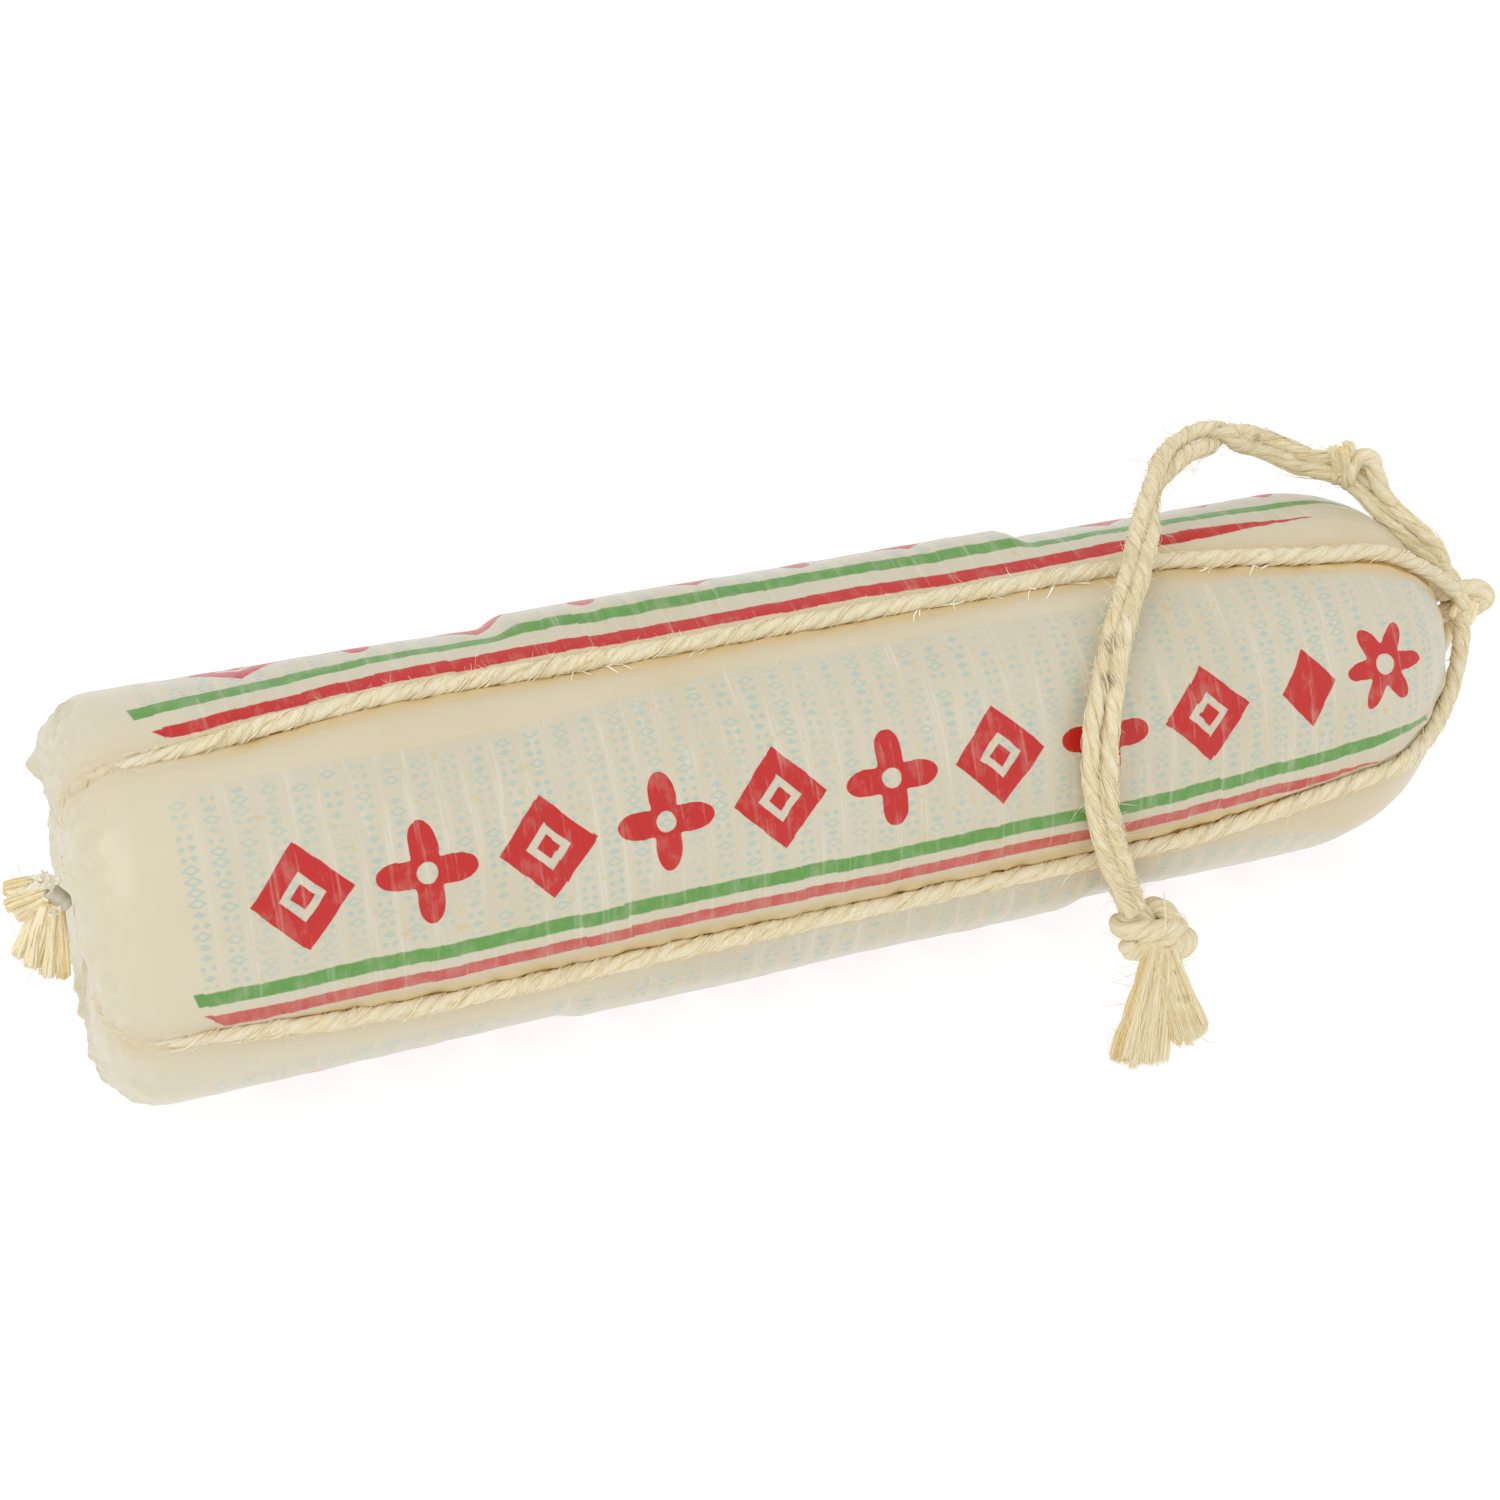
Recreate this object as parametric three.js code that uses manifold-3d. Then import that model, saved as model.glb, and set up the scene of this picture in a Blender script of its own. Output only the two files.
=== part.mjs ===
// A whole provolone cheese of the long "salame" form, lying on its side.
//
// The cheese is one solid: a wax-skinned barrel with a blunt end (-X) and a domed end (+X).
// Four runs of sisal rope lie in grooves along it.  They gather in a metal clip at the blunt
// end, where their cut ends fray out, and in a knot at the domed end.  From that knot a doubled
// rope climbs the shoulder to a hitch, arches over the cheese, comes down its front and ends on
// the ground in an overhand knot and a frayed tassel.
//
// Millimetres, +Z up, +X along the cheese towards its domed end, ground at z = 0.

import * as THREE from 'three';
import { mergeVertices } from 'three/addons/utils/BufferGeometryUtils.js';
import Module from 'manifold-3d';

// ---------------------------------------------------------------- driving dimensions

const AXIS_HEIGHT = 56;          // the barrel's axis above the ground; the foot is cut flat below it
const BARREL_RADIUS = 57.3;
const BLUNT_RADIUS = 58.5;       // the barrel swells a little towards the blunt end
const SWELL_FROM = -56;          // x where that swelling starts
const SWELL_LENGTH = 140;

const BLUNT_END_X = -218;
const BLUNT_CORNER = { along: 17, across: 20 };
const BLUNT_DISH = 3;            // how far the middle of the blunt face is drawn in
const DOMED_END_X = 216.5;
const DOME = { along: 54, across: 55.5 };
const LEAN = 0.12;               // the top of the domed end reaches further than its underside
const LEAN_FROM = 124;
const LEAN_LENGTH = 100;

const ROPE_RADIUS = 2.8;         // one laid rope of the binding
const ROPE_SINK = 0.6;           // its centre below the skin
const BLUNT_SINK = 1.8;          // and how much deeper it lies on the blunt face
const BLUNT_CLEARANCE = 0.9;     // the groove is wider there too
const GROOVE_CLEARANCE = 1.1;
const PRESSED_CLEARANCE = 2.6;   // the same under the under rope
const GROOVE_WIDTH = 4.2;        // half width of the narrow part of a groove
const SHOULDER_WIDTH = 11;       // half width of the soft fall of the skin beside it
const SHOULDER_DEPTH = 2.0;
const PRESSED_SHOULDER_DEPTH = 0.5;
const UNDER_ROPE_REACH = 53.4;   // the weight of the cheese keeps the under rope inside this radius

// Each run of rope, by its angle round the axis: 0 faces -Y and 90 faces up.
const RUNS = [
  { name: 'binding_rope_top', blunt: 71, middle: 77.5, domed: 66 },
  { name: 'binding_rope_back', blunt: 162.5, middle: 162.5, domed: 160 },
  { name: 'binding_rope_under', blunt: 257.5, middle: 257.5, domed: 262, pressed: true },
  { name: 'binding_rope_front', blunt: 349, middle: 342.5, domed: 354 },
];
const TURN_BLUNT = { from: -116, length: 90 };
const TURN_DOMED = { from: 94, length: 90 };

// Where the four runs meet on each end, off the axis: (y, z).
const BLUNT_GATHER = { y: -2, z: 8 };
const DOMED_GATHER = { y: -14, z: 22 };
const GATHER_FROM = { blunt: -100, domed: 20 };
const GATHER_LENGTH = { blunt: 100, domed: 130 };
const LIFT = 7.5;                // the runs rise off the dome where they reach the end knot
const LIFT_WITHIN = 0.75;

// The panels between the ropes that stand proud in the middle of the length.
const PANEL_BULGES = [
  { angle: 120, halfAngle: 38, height: 3.2 },
  { angle: 300, halfAngle: 34, height: 1.8 },
];
const BULGE_FROM = -86;
const BULGE_TO = 76;
const BULGE_EDGE = 9;
const BULGE_SIDE = 12;           // degrees over which it rises from a panel's sides

const CLIP = { x: -219.2, y: -2, z: 64.6, width: 9, height: 7.4, length: 7, dent: 0.9 };
const END_KNOT = { x: 221, y: -14, z: 78.5 };
const END_KNOT_RADII = { x: 6, y: 7.6, z: 7.6 };
const END_BIGHT_TIP = { x: 229.6, y: -14, z: 80 };
const END_BIGHT_RADIUS = 5;

const CORD_RADIUS = 4.6;         // two laid ropes of 4.6 mm twisted together
// The doubled rope from the end knot over the shoulder to the hitch.
const SHOULDER_ROUTE = [
  [218.5, -5, 87], [215.5, -5, 91.5], [210, -3, 98.8], [204, 2.5, 104.8], [200.2, 8, 110], [197.8, 10.8, 112.6],
];
const HITCH = { x: 193, y: 15.3, z: 116 };
const HITCH_CORE = { x: 4.6, y: 5.4, z: 5.4 };
const HITCH_TURN = { ring: 4.4, rope: 3, turn: 58.5, shifts: [-1.2, 1.4], fall: { y: -0.6, z: -0.3 } };
const HITCH_STUB_RADIUS = 3.1;
const HITCH_STUB_TIPS = [[186.6, 11, 127], [197.4, 11, 121.8]];
// From the hitch over the arch, down the front and to the knot on the ground.
const LOOP_ROUTE = [
  [187.2, 18.4, 117.4], [180.2, 20.5, 118.9], [171.5, 21.5, 123.3], [162, 21, 128.4], [151.5, 18.5, 132.8],
  [140.7, 15, 136], [130.5, 10.5, 136.8], [122.6, 6, 136], [116.9, 2, 134.4], [111.4, -3, 131.9],
  [106.8, -9, 128.1], [103, -15, 123.5], [98.8, -20.5, 118.6], [93.1, -27.5, 115.1], [87.4, -34.5, 111.2],
  [82, -41, 106.4], [77.3, -47, 99.8], [73, -52.8, 92.2], [69.9, -57.5, 84.3], [68.6, -61, 75],
  [69, -63, 64.5], [71.7, -64, 52.8], [76.6, -63, 39.8], [82.1, -60.5, 28.3], [85.6, -59.2, 21.2],
];
const TAIL_KNOT = { x: 92, y: -58, z: 11 };
const TAIL_KNOT_CORE = { x: 12, y: 6.4, z: 6.2 };
// The knot's two turns: ring radius, rope radius, tilt about X, turn about Z, and place.
const TAIL_KNOT_TURNS = [
  { ring: 6.2, rope: 3.6, tilt: 70, turn: 9, shift: [-2.4, -0.6, 0.4] },
  { ring: 6, rope: 3.4, tilt: 29, turn: 17, shift: [4.6, -1.2, -1.2] },
];

const TASSEL = {
  start: [89.5, -68.2, 7.4], end: [69.5, -105.4, 3.2], across: [0.88, -0.47, 0],
  width: [11, 27], thickness: [9, 5.2], ridges: 7, fray: 4,
};
const CUT_ENDS = [
  {
    name: 'cut_end_left', start: [-223.4, -1.8, 65.2], end: [-235, -2.6, 66], across: [0.1, 0.35, 0.93],
    width: [6, 11.5], thickness: [5.5, 6.5], ridges: 4, fray: 1.6,
  },
  {
    name: 'cut_end_lower', start: [-225.2, -3.6, 59], end: [-228.6, -7.6, 40.6], across: [0.97, -0.1, -0.12],
    width: [7, 15.5], thickness: [5.4, 5.6], ridges: 5, fray: 2,
  },
];

const FLOOR_GAP = 0.3;           // the frayed ends lie this close to the ground

// ---------------------------------------------------------------- helpers

const DEGREE = Math.PI / 180;
const clamp01 = (t) => Math.min(1, Math.max(0, t));
const smooth = (t) => clamp01(t) ** 2 * (3 - 2 * clamp01(t));
const mix = (a, b, t) => a + (b - a) * t;

// A closed body from rings of points: side walls between neighbouring rings, and a fan to a
// pole at each end.
function closedFromRings(firstPole, rings, lastPole) {
  const around = rings[0].length;
  const positions = [firstPole, ...rings.flat(), lastPole].flat();
  const last = rings.length * around + 1;
  const index = [];
  for (let j = 0; j < around; j += 1) {
    const k = (j + 1) % around;
    index.push(0, 1 + j, 1 + k);
    for (let i = 0; i + 1 < rings.length; i += 1) {
      const a = 1 + i * around;
      const b = a + around;
      index.push(a + j, b + k, a + k, a + j, b + j, b + k);
    }
    const rim = 1 + (rings.length - 1) * around;
    index.push(last, rim + k, rim + j);
  }
  const geometry = new THREE.BufferGeometry();
  geometry.setAttribute('position', new THREE.Float32BufferAttribute(positions, 3));
  geometry.setIndex(index);
  return geometry;
}

function circleShape(radius, sides) {
  const shape = new THREE.Shape();
  for (let i = 0; i < sides; i += 1) {
    const a = (2 * Math.PI * i) / sides;
    shape[i ? 'lineTo' : 'moveTo'](radius * Math.cos(a), radius * Math.sin(a));
  }
  shape.closePath();
  return shape;
}

function tube(points, radius, sides, steps) {
  const path = new THREE.CatmullRomCurve3(points.map((p) => new THREE.Vector3(...p)));
  return new THREE.ExtrudeGeometry(circleShape(radius, sides), { steps, extrudePath: path, curveSegments: 1 });
}

function ellipsoid(centre, radii, segments, rings) {
  const geometry = new THREE.SphereGeometry(1, segments, rings);
  geometry.scale(radii.x, radii.y, radii.z);
  geometry.translate(centre.x, centre.y, centre.z);
  return geometry;
}

function piece(name, geometry, material) {
  const mesh = new THREE.Mesh(geometry, material);
  mesh.name = name;
  return mesh;
}

// ---------------------------------------------------------------- joining solids

const wasm = await Module();
wasm.setup();

function toSolid(geometry) {
  const bare = geometry.index ? geometry.toNonIndexed() : geometry.clone();
  bare.deleteAttribute('normal');
  bare.deleteAttribute('uv');
  const merged = mergeVertices(bare, 1e-4);
  const index = merged.index.array;
  const triangles = [];
  for (let i = 0; i < index.length; i += 3) {
    const [a, b, c] = [index[i], index[i + 1], index[i + 2]];
    if (a !== b && b !== c && c !== a) triangles.push(a, b, c);
  }
  return new wasm.Manifold(new wasm.Mesh({
    numProp: 3,
    vertProperties: new Float32Array(merged.attributes.position.array),
    triVerts: new Uint32Array(triangles),
  }));
}

function joined(...geometries) {
  const solid = geometries.map(toSolid).reduce((a, b) => a.add(b));
  const mesh = solid.getMesh();
  const geometry = new THREE.BufferGeometry();
  geometry.setAttribute('position', new THREE.Float32BufferAttribute(mesh.vertProperties, 3));
  geometry.setIndex([...mesh.triVerts]);
  return geometry;
}

// ---------------------------------------------------------------- the cheese's skin

function barrelRadius(x) {
  return mix(BARREL_RADIUS, BLUNT_RADIUS, clamp01((SWELL_FROM - x) / SWELL_LENGTH));
}

// The x of each end's surface at a distance r from the axis, and its outward normal (x, r).
function bluntCap(r) {
  const face = BLUNT_RADIUS - BLUNT_CORNER.across;
  if (r <= face) {
    const slope = (-2 * BLUNT_DISH * r) / face ** 2;
    const length = Math.hypot(1, slope);
    return { x: BLUNT_END_X + BLUNT_DISH * (1 - (r / face) ** 2), nx: -1 / length, nr: slope / length };
  }
  const t = Math.asin(clamp01((r - face) / BLUNT_CORNER.across));
  const n = new THREE.Vector2(-Math.cos(t) / BLUNT_CORNER.along, Math.sin(t) / BLUNT_CORNER.across).normalize();
  return { x: BLUNT_END_X + BLUNT_CORNER.along * (1 - Math.cos(t)), nx: n.x, nr: n.y };
}

function domedCap(r) {
  const face = BARREL_RADIUS - DOME.across;
  const t = Math.asin(clamp01((r - face) / DOME.across));
  const n = new THREE.Vector2(Math.cos(t) / DOME.along, Math.sin(t) / DOME.across).normalize();
  return { x: DOMED_END_X - DOME.along * (1 - Math.cos(t)), nx: n.x, nr: n.y };
}

const BLUNT_BARREL_X = BLUNT_END_X + BLUNT_CORNER.along;
const DOMED_BARREL_X = DOMED_END_X - DOME.along;

// A place on the skin before it is grooved.  On the barrel a station has an x; on a cap it has
// a share f of the way from the gather point out to the rim, so that every rope's line there
// has one rim angle.
function skinPlace(station, angle) {
  const [c, s] = [-Math.cos(angle * DEGREE), Math.sin(angle * DEGREE)];
  if (station.cap === undefined) {
    const r = barrelRadius(station.x);
    return { x: station.x, y: r * c, z: r * s, nx: 0, nr: 1, r };
  }
  const blunt = station.cap === 'blunt';
  const gather = blunt ? BLUNT_GATHER : DOMED_GATHER;
  const rim = blunt ? BLUNT_RADIUS : BARREL_RADIUS;
  const y = mix(gather.y, rim * c, station.f);
  const z = mix(gather.z, rim * s, station.f);
  const r = Math.hypot(y, z);
  return { ...(blunt ? bluntCap(r) : domedCap(r)), y, z, r };
}

function runAngle(run, x) {
  const blunt = smooth((TURN_BLUNT.from - x) / TURN_BLUNT.length);
  const domed = smooth((x - TURN_DOMED.from) / TURN_DOMED.length);
  return run.middle + (run.blunt - run.middle) * blunt + (run.domed - run.middle) * domed;
}

// 0 on the barrel and the dome, rising to 1 round the blunt end's corner.
const BLUNT_TURN_IN = 2.4;
const onBluntFace = (place) => smooth(-place.nx * BLUNT_TURN_IN);

function ropeSink(run, place) {
  const sink = ROPE_SINK + BLUNT_SINK * onBluntFace(place);
  return run.pressed ? Math.max(sink, place.r - UNDER_ROPE_REACH) : sink;
}

function grooveFloor(run, place) {
  const clearance = (run.pressed ? PRESSED_CLEARANCE : GROOVE_CLEARANCE) + BLUNT_CLEARANCE * onBluntFace(place);
  return ropeSink(run, place) + ROPE_RADIUS + clearance;
}

// How far the skin is pressed in, from the distance to the nearest rope's line.
function grooveDepth(place) {
  const towardBlunt = smooth((GATHER_FROM.blunt - place.x) / GATHER_LENGTH.blunt);
  const towardDomed = smooth((place.x - GATHER_FROM.domed) / GATHER_LENGTH.domed);
  const gatherY = BLUNT_GATHER.y * towardBlunt + DOMED_GATHER.y * towardDomed;
  const gatherZ = BLUNT_GATHER.z * towardBlunt + DOMED_GATHER.z * towardDomed;
  let depth = 0;
  for (const run of RUNS) {
    const angle = runAngle(run, place.x) * DEGREE;
    const tipY = -BLUNT_RADIUS * Math.cos(angle) - gatherY;
    const tipZ = BLUNT_RADIUS * Math.sin(angle) - gatherZ;
    const [dy, dz] = [place.y - gatherY, place.z - gatherZ];
    const t = clamp01((dy * tipY + dz * tipZ) / (tipY ** 2 + tipZ ** 2));
    const distance = Math.hypot(dy - t * tipY, dz - t * tipZ);
    const shoulder = run.pressed ? PRESSED_SHOULDER_DEPTH : SHOULDER_DEPTH;
    const narrow = (grooveFloor(run, place) - shoulder) * Math.exp(-((distance / GROOVE_WIDTH) ** 3));
    depth = Math.max(depth, narrow + shoulder * Math.exp(-((distance / SHOULDER_WIDTH) ** 2)));
  }
  return depth;
}

function panelBulge(x, angle) {
  const along = smooth((x - BULGE_FROM) / BULGE_EDGE + 0.5) * smooth((BULGE_TO - x) / BULGE_EDGE + 0.5);
  let height = 0;
  for (const panel of PANEL_BULGES) {
    const off = Math.abs(((angle - panel.angle + 540) % 360) - 180);
    height += panel.height * along * smooth((panel.halfAngle - off) / BULGE_SIDE);
  }
  return height;
}

// Moves a place along the skin's normal, leans the domed end, and lifts it off the axis.
function offset(place, outward) {
  const radial = place.r > 1e-6 ? (place.nr * outward) / place.r : 0;
  const y = place.y * (1 + radial);
  const z = place.z * (1 + radial);
  const x = place.x + place.nx * outward;
  return [x + LEAN * clamp01((x - LEAN_FROM) / LEAN_LENGTH) * z, y, AXIS_HEIGHT + z];
}

function skinPoint(station, angle) {
  const place = skinPlace(station, angle);
  const point = offset(place, panelBulge(place.x, angle) - grooveDepth(place));
  return [point[0], point[1], Math.max(0, point[2])];
}

// Angles round the cheese, close together beside each rope and wide apart on the panels.
function skinAngles(x) {
  const beside = [0, 1.9, 3.6, 5.4, 7.8, 11, 16];
  const across = 4;
  const angles = [];
  RUNS.forEach((run, i) => {
    const from = runAngle(run, x);
    const next = i + 1 < RUNS.length ? runAngle(RUNS[i + 1], x) : runAngle(RUNS[0], x) + 360;
    const perMm = 1 / (BARREL_RADIUS * DEGREE);
    const edge = beside[beside.length - 1] * perMm;
    beside.forEach((mm) => angles.push(from + mm * perMm));
    for (let k = 1; k <= across; k += 1) angles.push(mix(from + edge, next - edge, k / (across + 1)));
    beside.slice(1).reverse().forEach((mm) => angles.push(next - mm * perMm));
  });
  return angles;
}

function barrelStations() {
  const xs = [-186, -168, -146, -122, -98, -90, -86, -81, -60, -35, -8, 18, 45, 68, 76, 82, 100, 122, 143];
  return [BLUNT_BARREL_X, ...xs].map((x) => ({ x }));
}

function bluntStations() {
  const face = 1 - BLUNT_CORNER.across / BLUNT_RADIUS;
  const onFace = [0.14, 0.28, 0.44, 0.58, face].map((f) => ({ cap: 'blunt', f }));
  const corner = [18, 36, 52, 66, 79].map((deg) => (
    { cap: 'blunt', f: face + (1 - face) * Math.sin(deg * DEGREE) }
  ));
  return [...onFace, ...corner];
}

function domedStations() {
  const face = 1 - DOME.across / BARREL_RADIUS;
  return [90, 81, 72, 63, 54, 45, 36, 27, 18, 9].map((deg) => (
    { cap: 'domed', f: face + (1 - face) * Math.sin(deg * DEGREE) }
  ));
}

function cheese() {
  const stations = [...bluntStations(), ...barrelStations(), ...domedStations()];
  const rings = stations.map((station) => {
    const x = station.x ?? (station.cap === 'blunt' ? BLUNT_BARREL_X : DOMED_BARREL_X);
    return skinAngles(x).map((angle) => skinPoint(station, angle));
  });
  return closedFromRings(skinPoint({ cap: 'blunt', f: 0 }, 0), rings, skinPoint({ cap: 'domed', f: 0 }, 0));
}

// ---------------------------------------------------------------- the binding

// Drops the part of a route that lies within a radius of a centre, and ends it on that sphere.
function trimmed(points, centre, radius) {
  const away = (p) => Math.hypot(p[0] - centre.x, p[1] - centre.y, p[2] - centre.z);
  const last = points.findIndex((p) => away(p) < radius);
  if (last < 1) return points;
  const [a, b] = [points[last - 1], points[last]];
  const t = (away(a) - radius) / (away(a) - away(b));
  return [...points.slice(0, last), a.map((v, i) => mix(v, b[i], t))];
}

const KNOT_MARGIN = 1;
const CLIP_MARGIN = 1.6;

function bindingRoute(run) {
  const place = (station, lift) => {
    const x = station.x ?? (station.cap === 'blunt' ? BLUNT_BARREL_X : DOMED_BARREL_X);
    const at = skinPlace(station, runAngle(run, x));
    return offset(at, lift - ropeSink(run, at));
  };
  const points = [];
  for (let f = 0.99; f > 0.05; f -= 0.055) {
    points.unshift(place({ cap: 'blunt', f }, 0));
  }
  for (let x = BLUNT_BARREL_X; x < DOMED_BARREL_X; x += 12) points.push(place({ x }, 0));
  for (let f = 0.99; f > 0.02; f -= 0.04) {
    points.push(place({ cap: 'domed', f }, LIFT * (1 - Math.min(1, f / LIFT_WITHIN)) ** 1.5));
  }
  const atKnot = trimmed(points, END_KNOT, END_KNOT_RADII.y + KNOT_MARGIN);
  const clipMouth = { x: CLIP.x + CLIP.length / 2, y: CLIP.y, z: CLIP.z };
  return trimmed(atKnot.reverse(), clipMouth, CLIP.width / 2 + CLIP_MARGIN);
}

// The crimped clip: a stadium section along X with a dent across the middle of each side.
function clip() {
  const { width, height, length, dent } = CLIP;
  const around = 20;
  const rings = [0, 0.12, 0.4, 0.5, 0.6, 0.88, 1].map((t) => {
    const pinch = dent * Math.max(0, 1 - Math.abs(t - 0.5) / 0.14);
    const round = t === 0 || t === 1 ? 0.5 : 0;
    return Array.from({ length: around }, (_, i) => {
      const a = (-2 * Math.PI * i) / around;
      const y = (width / 2 - round) * Math.sign(Math.cos(a)) * Math.abs(Math.cos(a)) ** 0.75;
      const z = (height / 2 - round - pinch) * Math.sign(Math.sin(a)) * Math.abs(Math.sin(a)) ** 0.75;
      return [CLIP.x + (t - 0.5) * length, CLIP.y + y, CLIP.z + z];
    });
  });
  const pole = (side) => [CLIP.x + (side * length) / 2, CLIP.y, CLIP.z];
  return closedFromRings(pole(-1), rings, pole(1));
}

// A frayed end: a flat bundle that widens along its length, ridged along the fibres, with an
// uneven tip.
function frayedEnd({ start, end, across, width, thickness, ridges, fray }) {
  const from = new THREE.Vector3(...start);
  const along = new THREE.Vector3(...end).sub(from);
  const side = new THREE.Vector3(...across);
  side.addScaledVector(along, -along.dot(side) / along.lengthSq()).normalize();
  const up = new THREE.Vector3().crossVectors(side, along).normalize();
  const columns = 4 * ridges;
  const around = 2 * columns;
  const length = along.length();
  const rings = [0, 0.12, 0.28, 0.46, 0.64, 0.82, 1].map((t) => {
    const w = mix(width[0], width[1], t ** 0.8) / 2;
    const h = mix(thickness[0], thickness[1], t) / 2;
    return Array.from({ length: around }, (_, i) => {
      const a = (2 * Math.PI * (i + 0.5)) / around;
      const u = Math.cos(a);
      const ridge = 1 + 0.16 * t * Math.cos(Math.acos(u) * ridges * 2);
      const uneven = t ** 3 * (0.6 * Math.cos(9 * u + 1) + 0.4 * Math.cos(23 * u));
      const rounded = 0.5 * (t * u) ** 2;
      const point = from.clone().addScaledVector(along, t + (fray * (uneven - rounded)) / length);
      point.addScaledVector(side, w * u).addScaledVector(up, h * Math.sin(a) * ridge);
      return [point.x, point.y, Math.max(FLOOR_GAP, point.z)];
    });
  });
  const centre = (ring) => [0, 1, 2].map((k) => ring.reduce((sum, p) => sum + p[k], 0) / ring.length);
  return closedFromRings(centre(rings[0]), rings, centre(rings[rings.length - 1]));
}

// The runs' folded ends, bound over each other, and the bight that stands out of them.
function endKnot() {
  return joined(
    ellipsoid(END_KNOT, END_KNOT_RADII, 16, 10),
    tube([END_KNOT, END_BIGHT_TIP].map(({ x, y, z }) => [x, y, z]), END_BIGHT_RADIUS * 0.92, 10, 4),
    ellipsoid(END_BIGHT_TIP, { x: END_BIGHT_RADIUS, y: END_BIGHT_RADIUS, z: END_BIGHT_RADIUS }, 12, 8),
  );
}

// ---------------------------------------------------------------- the loop's own pieces

// A turn of rope: a ring leaned about X, then turned about Z, in degrees.
function ropeTurn(ring, rope, lean, turn, x, y, z) {
  const geometry = new THREE.TorusGeometry(ring, rope, 8, 18);
  geometry.rotateX(lean * DEGREE);
  geometry.rotateZ(turn * DEGREE);
  geometry.translate(x, y, z);
  return geometry;
}

// The hitch: two turns round the doubled rope, and two short ends that stand up from it.
function loopHitch() {
  const { ring, rope, turn, shifts, fall } = HITCH_TURN;
  const turns = shifts.map((shift) => ropeTurn(
    ring, rope, 90, turn, HITCH.x + shift, HITCH.y + fall.y * shift, HITCH.z + fall.z * shift,
  ));
  const from = [HITCH.x, HITCH.y, HITCH.z];
  const stubs = HITCH_STUB_TIPS.map((tip) => tube(
    [from, from.map((v, i) => (v + tip[i]) / 2), tip], HITCH_STUB_RADIUS, 8, 4,
  ));
  return joined(ellipsoid(HITCH, HITCH_CORE, 12, 8), ...turns, ...stubs);
}

// The overhand knot: a core, the turn that wraps it and the turn that crosses in front.
function tailKnot() {
  const turns = TAIL_KNOT_TURNS.map(({ ring, rope, tilt, turn, shift: [dx, dy, dz] }) => ropeTurn(
    ring, rope, tilt, turn, TAIL_KNOT.x + dx, TAIL_KNOT.y + dy, TAIL_KNOT.z + dz,
  ));
  return joined(ellipsoid(TAIL_KNOT, TAIL_KNOT_CORE, 14, 9), ...turns);
}

// ---------------------------------------------------------------- the object

const waxedSkin = new THREE.MeshStandardMaterial({ color: 0xe2d6bd, roughness: 0.4, metalness: 0 });
const sisal = new THREE.MeshStandardMaterial({ color: 0xe4d8b0, roughness: 0.9, metalness: 0 });
const clipMetal = new THREE.MeshStandardMaterial({ color: 0xb9bcb8, roughness: 0.35, metalness: 0.9 });

const object = new THREE.Group();
object.add(piece('cheese', cheese(), waxedSkin));
for (const run of RUNS) {
  object.add(piece(run.name, tube(bindingRoute(run), ROPE_RADIUS, 8, 44), sisal.clone()));
}
object.add(piece('clip', clip(), clipMetal));
for (const cut of CUT_ENDS) object.add(piece(cut.name, frayedEnd(cut), sisal.clone()));
object.add(piece('end_knot', endKnot(), sisal.clone()));
object.add(piece('shoulder_rope', tube(SHOULDER_ROUTE, CORD_RADIUS, 10, 8), sisal.clone()));
object.add(piece('loop_hitch', loopHitch(), sisal.clone()));
object.add(piece('hanging_rope', tube(LOOP_ROUTE, CORD_RADIUS, 10, 46), sisal.clone()));
object.add(piece('tail_knot', tailKnot(), sisal.clone()));
object.add(piece('tassel', frayedEnd(TASSEL), sisal.clone()));

export default object;
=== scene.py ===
"""A whole provolone cheese bound with sisal rope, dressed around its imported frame.

Lengths are in millimetres until a mesh is written; +X runs along the cheese to its domed end,
the loop comes down its -Y side, and the ground is z = 0.
"""

import math

import bpy
import numpy as np
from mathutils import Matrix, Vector


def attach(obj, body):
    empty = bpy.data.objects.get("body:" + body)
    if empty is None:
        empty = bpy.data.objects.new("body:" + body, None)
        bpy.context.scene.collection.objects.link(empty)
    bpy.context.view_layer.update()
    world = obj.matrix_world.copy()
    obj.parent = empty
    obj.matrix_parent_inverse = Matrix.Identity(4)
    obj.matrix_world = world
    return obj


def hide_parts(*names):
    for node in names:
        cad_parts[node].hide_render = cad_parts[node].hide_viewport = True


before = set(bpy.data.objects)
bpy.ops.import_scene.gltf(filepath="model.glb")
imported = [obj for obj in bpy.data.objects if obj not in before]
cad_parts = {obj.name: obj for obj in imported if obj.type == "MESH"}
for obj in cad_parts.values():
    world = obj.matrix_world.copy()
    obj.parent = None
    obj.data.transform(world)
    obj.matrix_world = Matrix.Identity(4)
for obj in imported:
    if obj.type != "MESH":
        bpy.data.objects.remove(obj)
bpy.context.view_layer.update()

MM = 0.001
TAU = 2 * math.pi

# ---------------------------------------------------------------- the cheese's driving sizes

AXIS_HEIGHT = 56.0
BARREL_RADIUS = 57.3
BLUNT_RADIUS = 58.5
SWELL_FROM, SWELL_LENGTH = -56.0, 140.0
BLUNT_END_X, DOMED_END_X = -218.0, 216.5
CORNER_ALONG, CORNER_ACROSS = 17.0, 20.0
BLUNT_DISH = 3.0
DOME_ALONG, DOME_ACROSS = 54.0, 55.5
LEAN, LEAN_FROM, LEAN_LENGTH = 0.12, 124.0, 100.0
BLUNT_BARREL_X = BLUNT_END_X + CORNER_ALONG
DOMED_BARREL_X = DOMED_END_X - DOME_ALONG
GATHER = {"blunt": (-2.0, 8.0), "domed": (-14.0, 22.0)}
GATHER_FROM = {"blunt": -100.0, "domed": 20.0}
GATHER_LENGTH = {"blunt": 100.0, "domed": 130.0}

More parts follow.
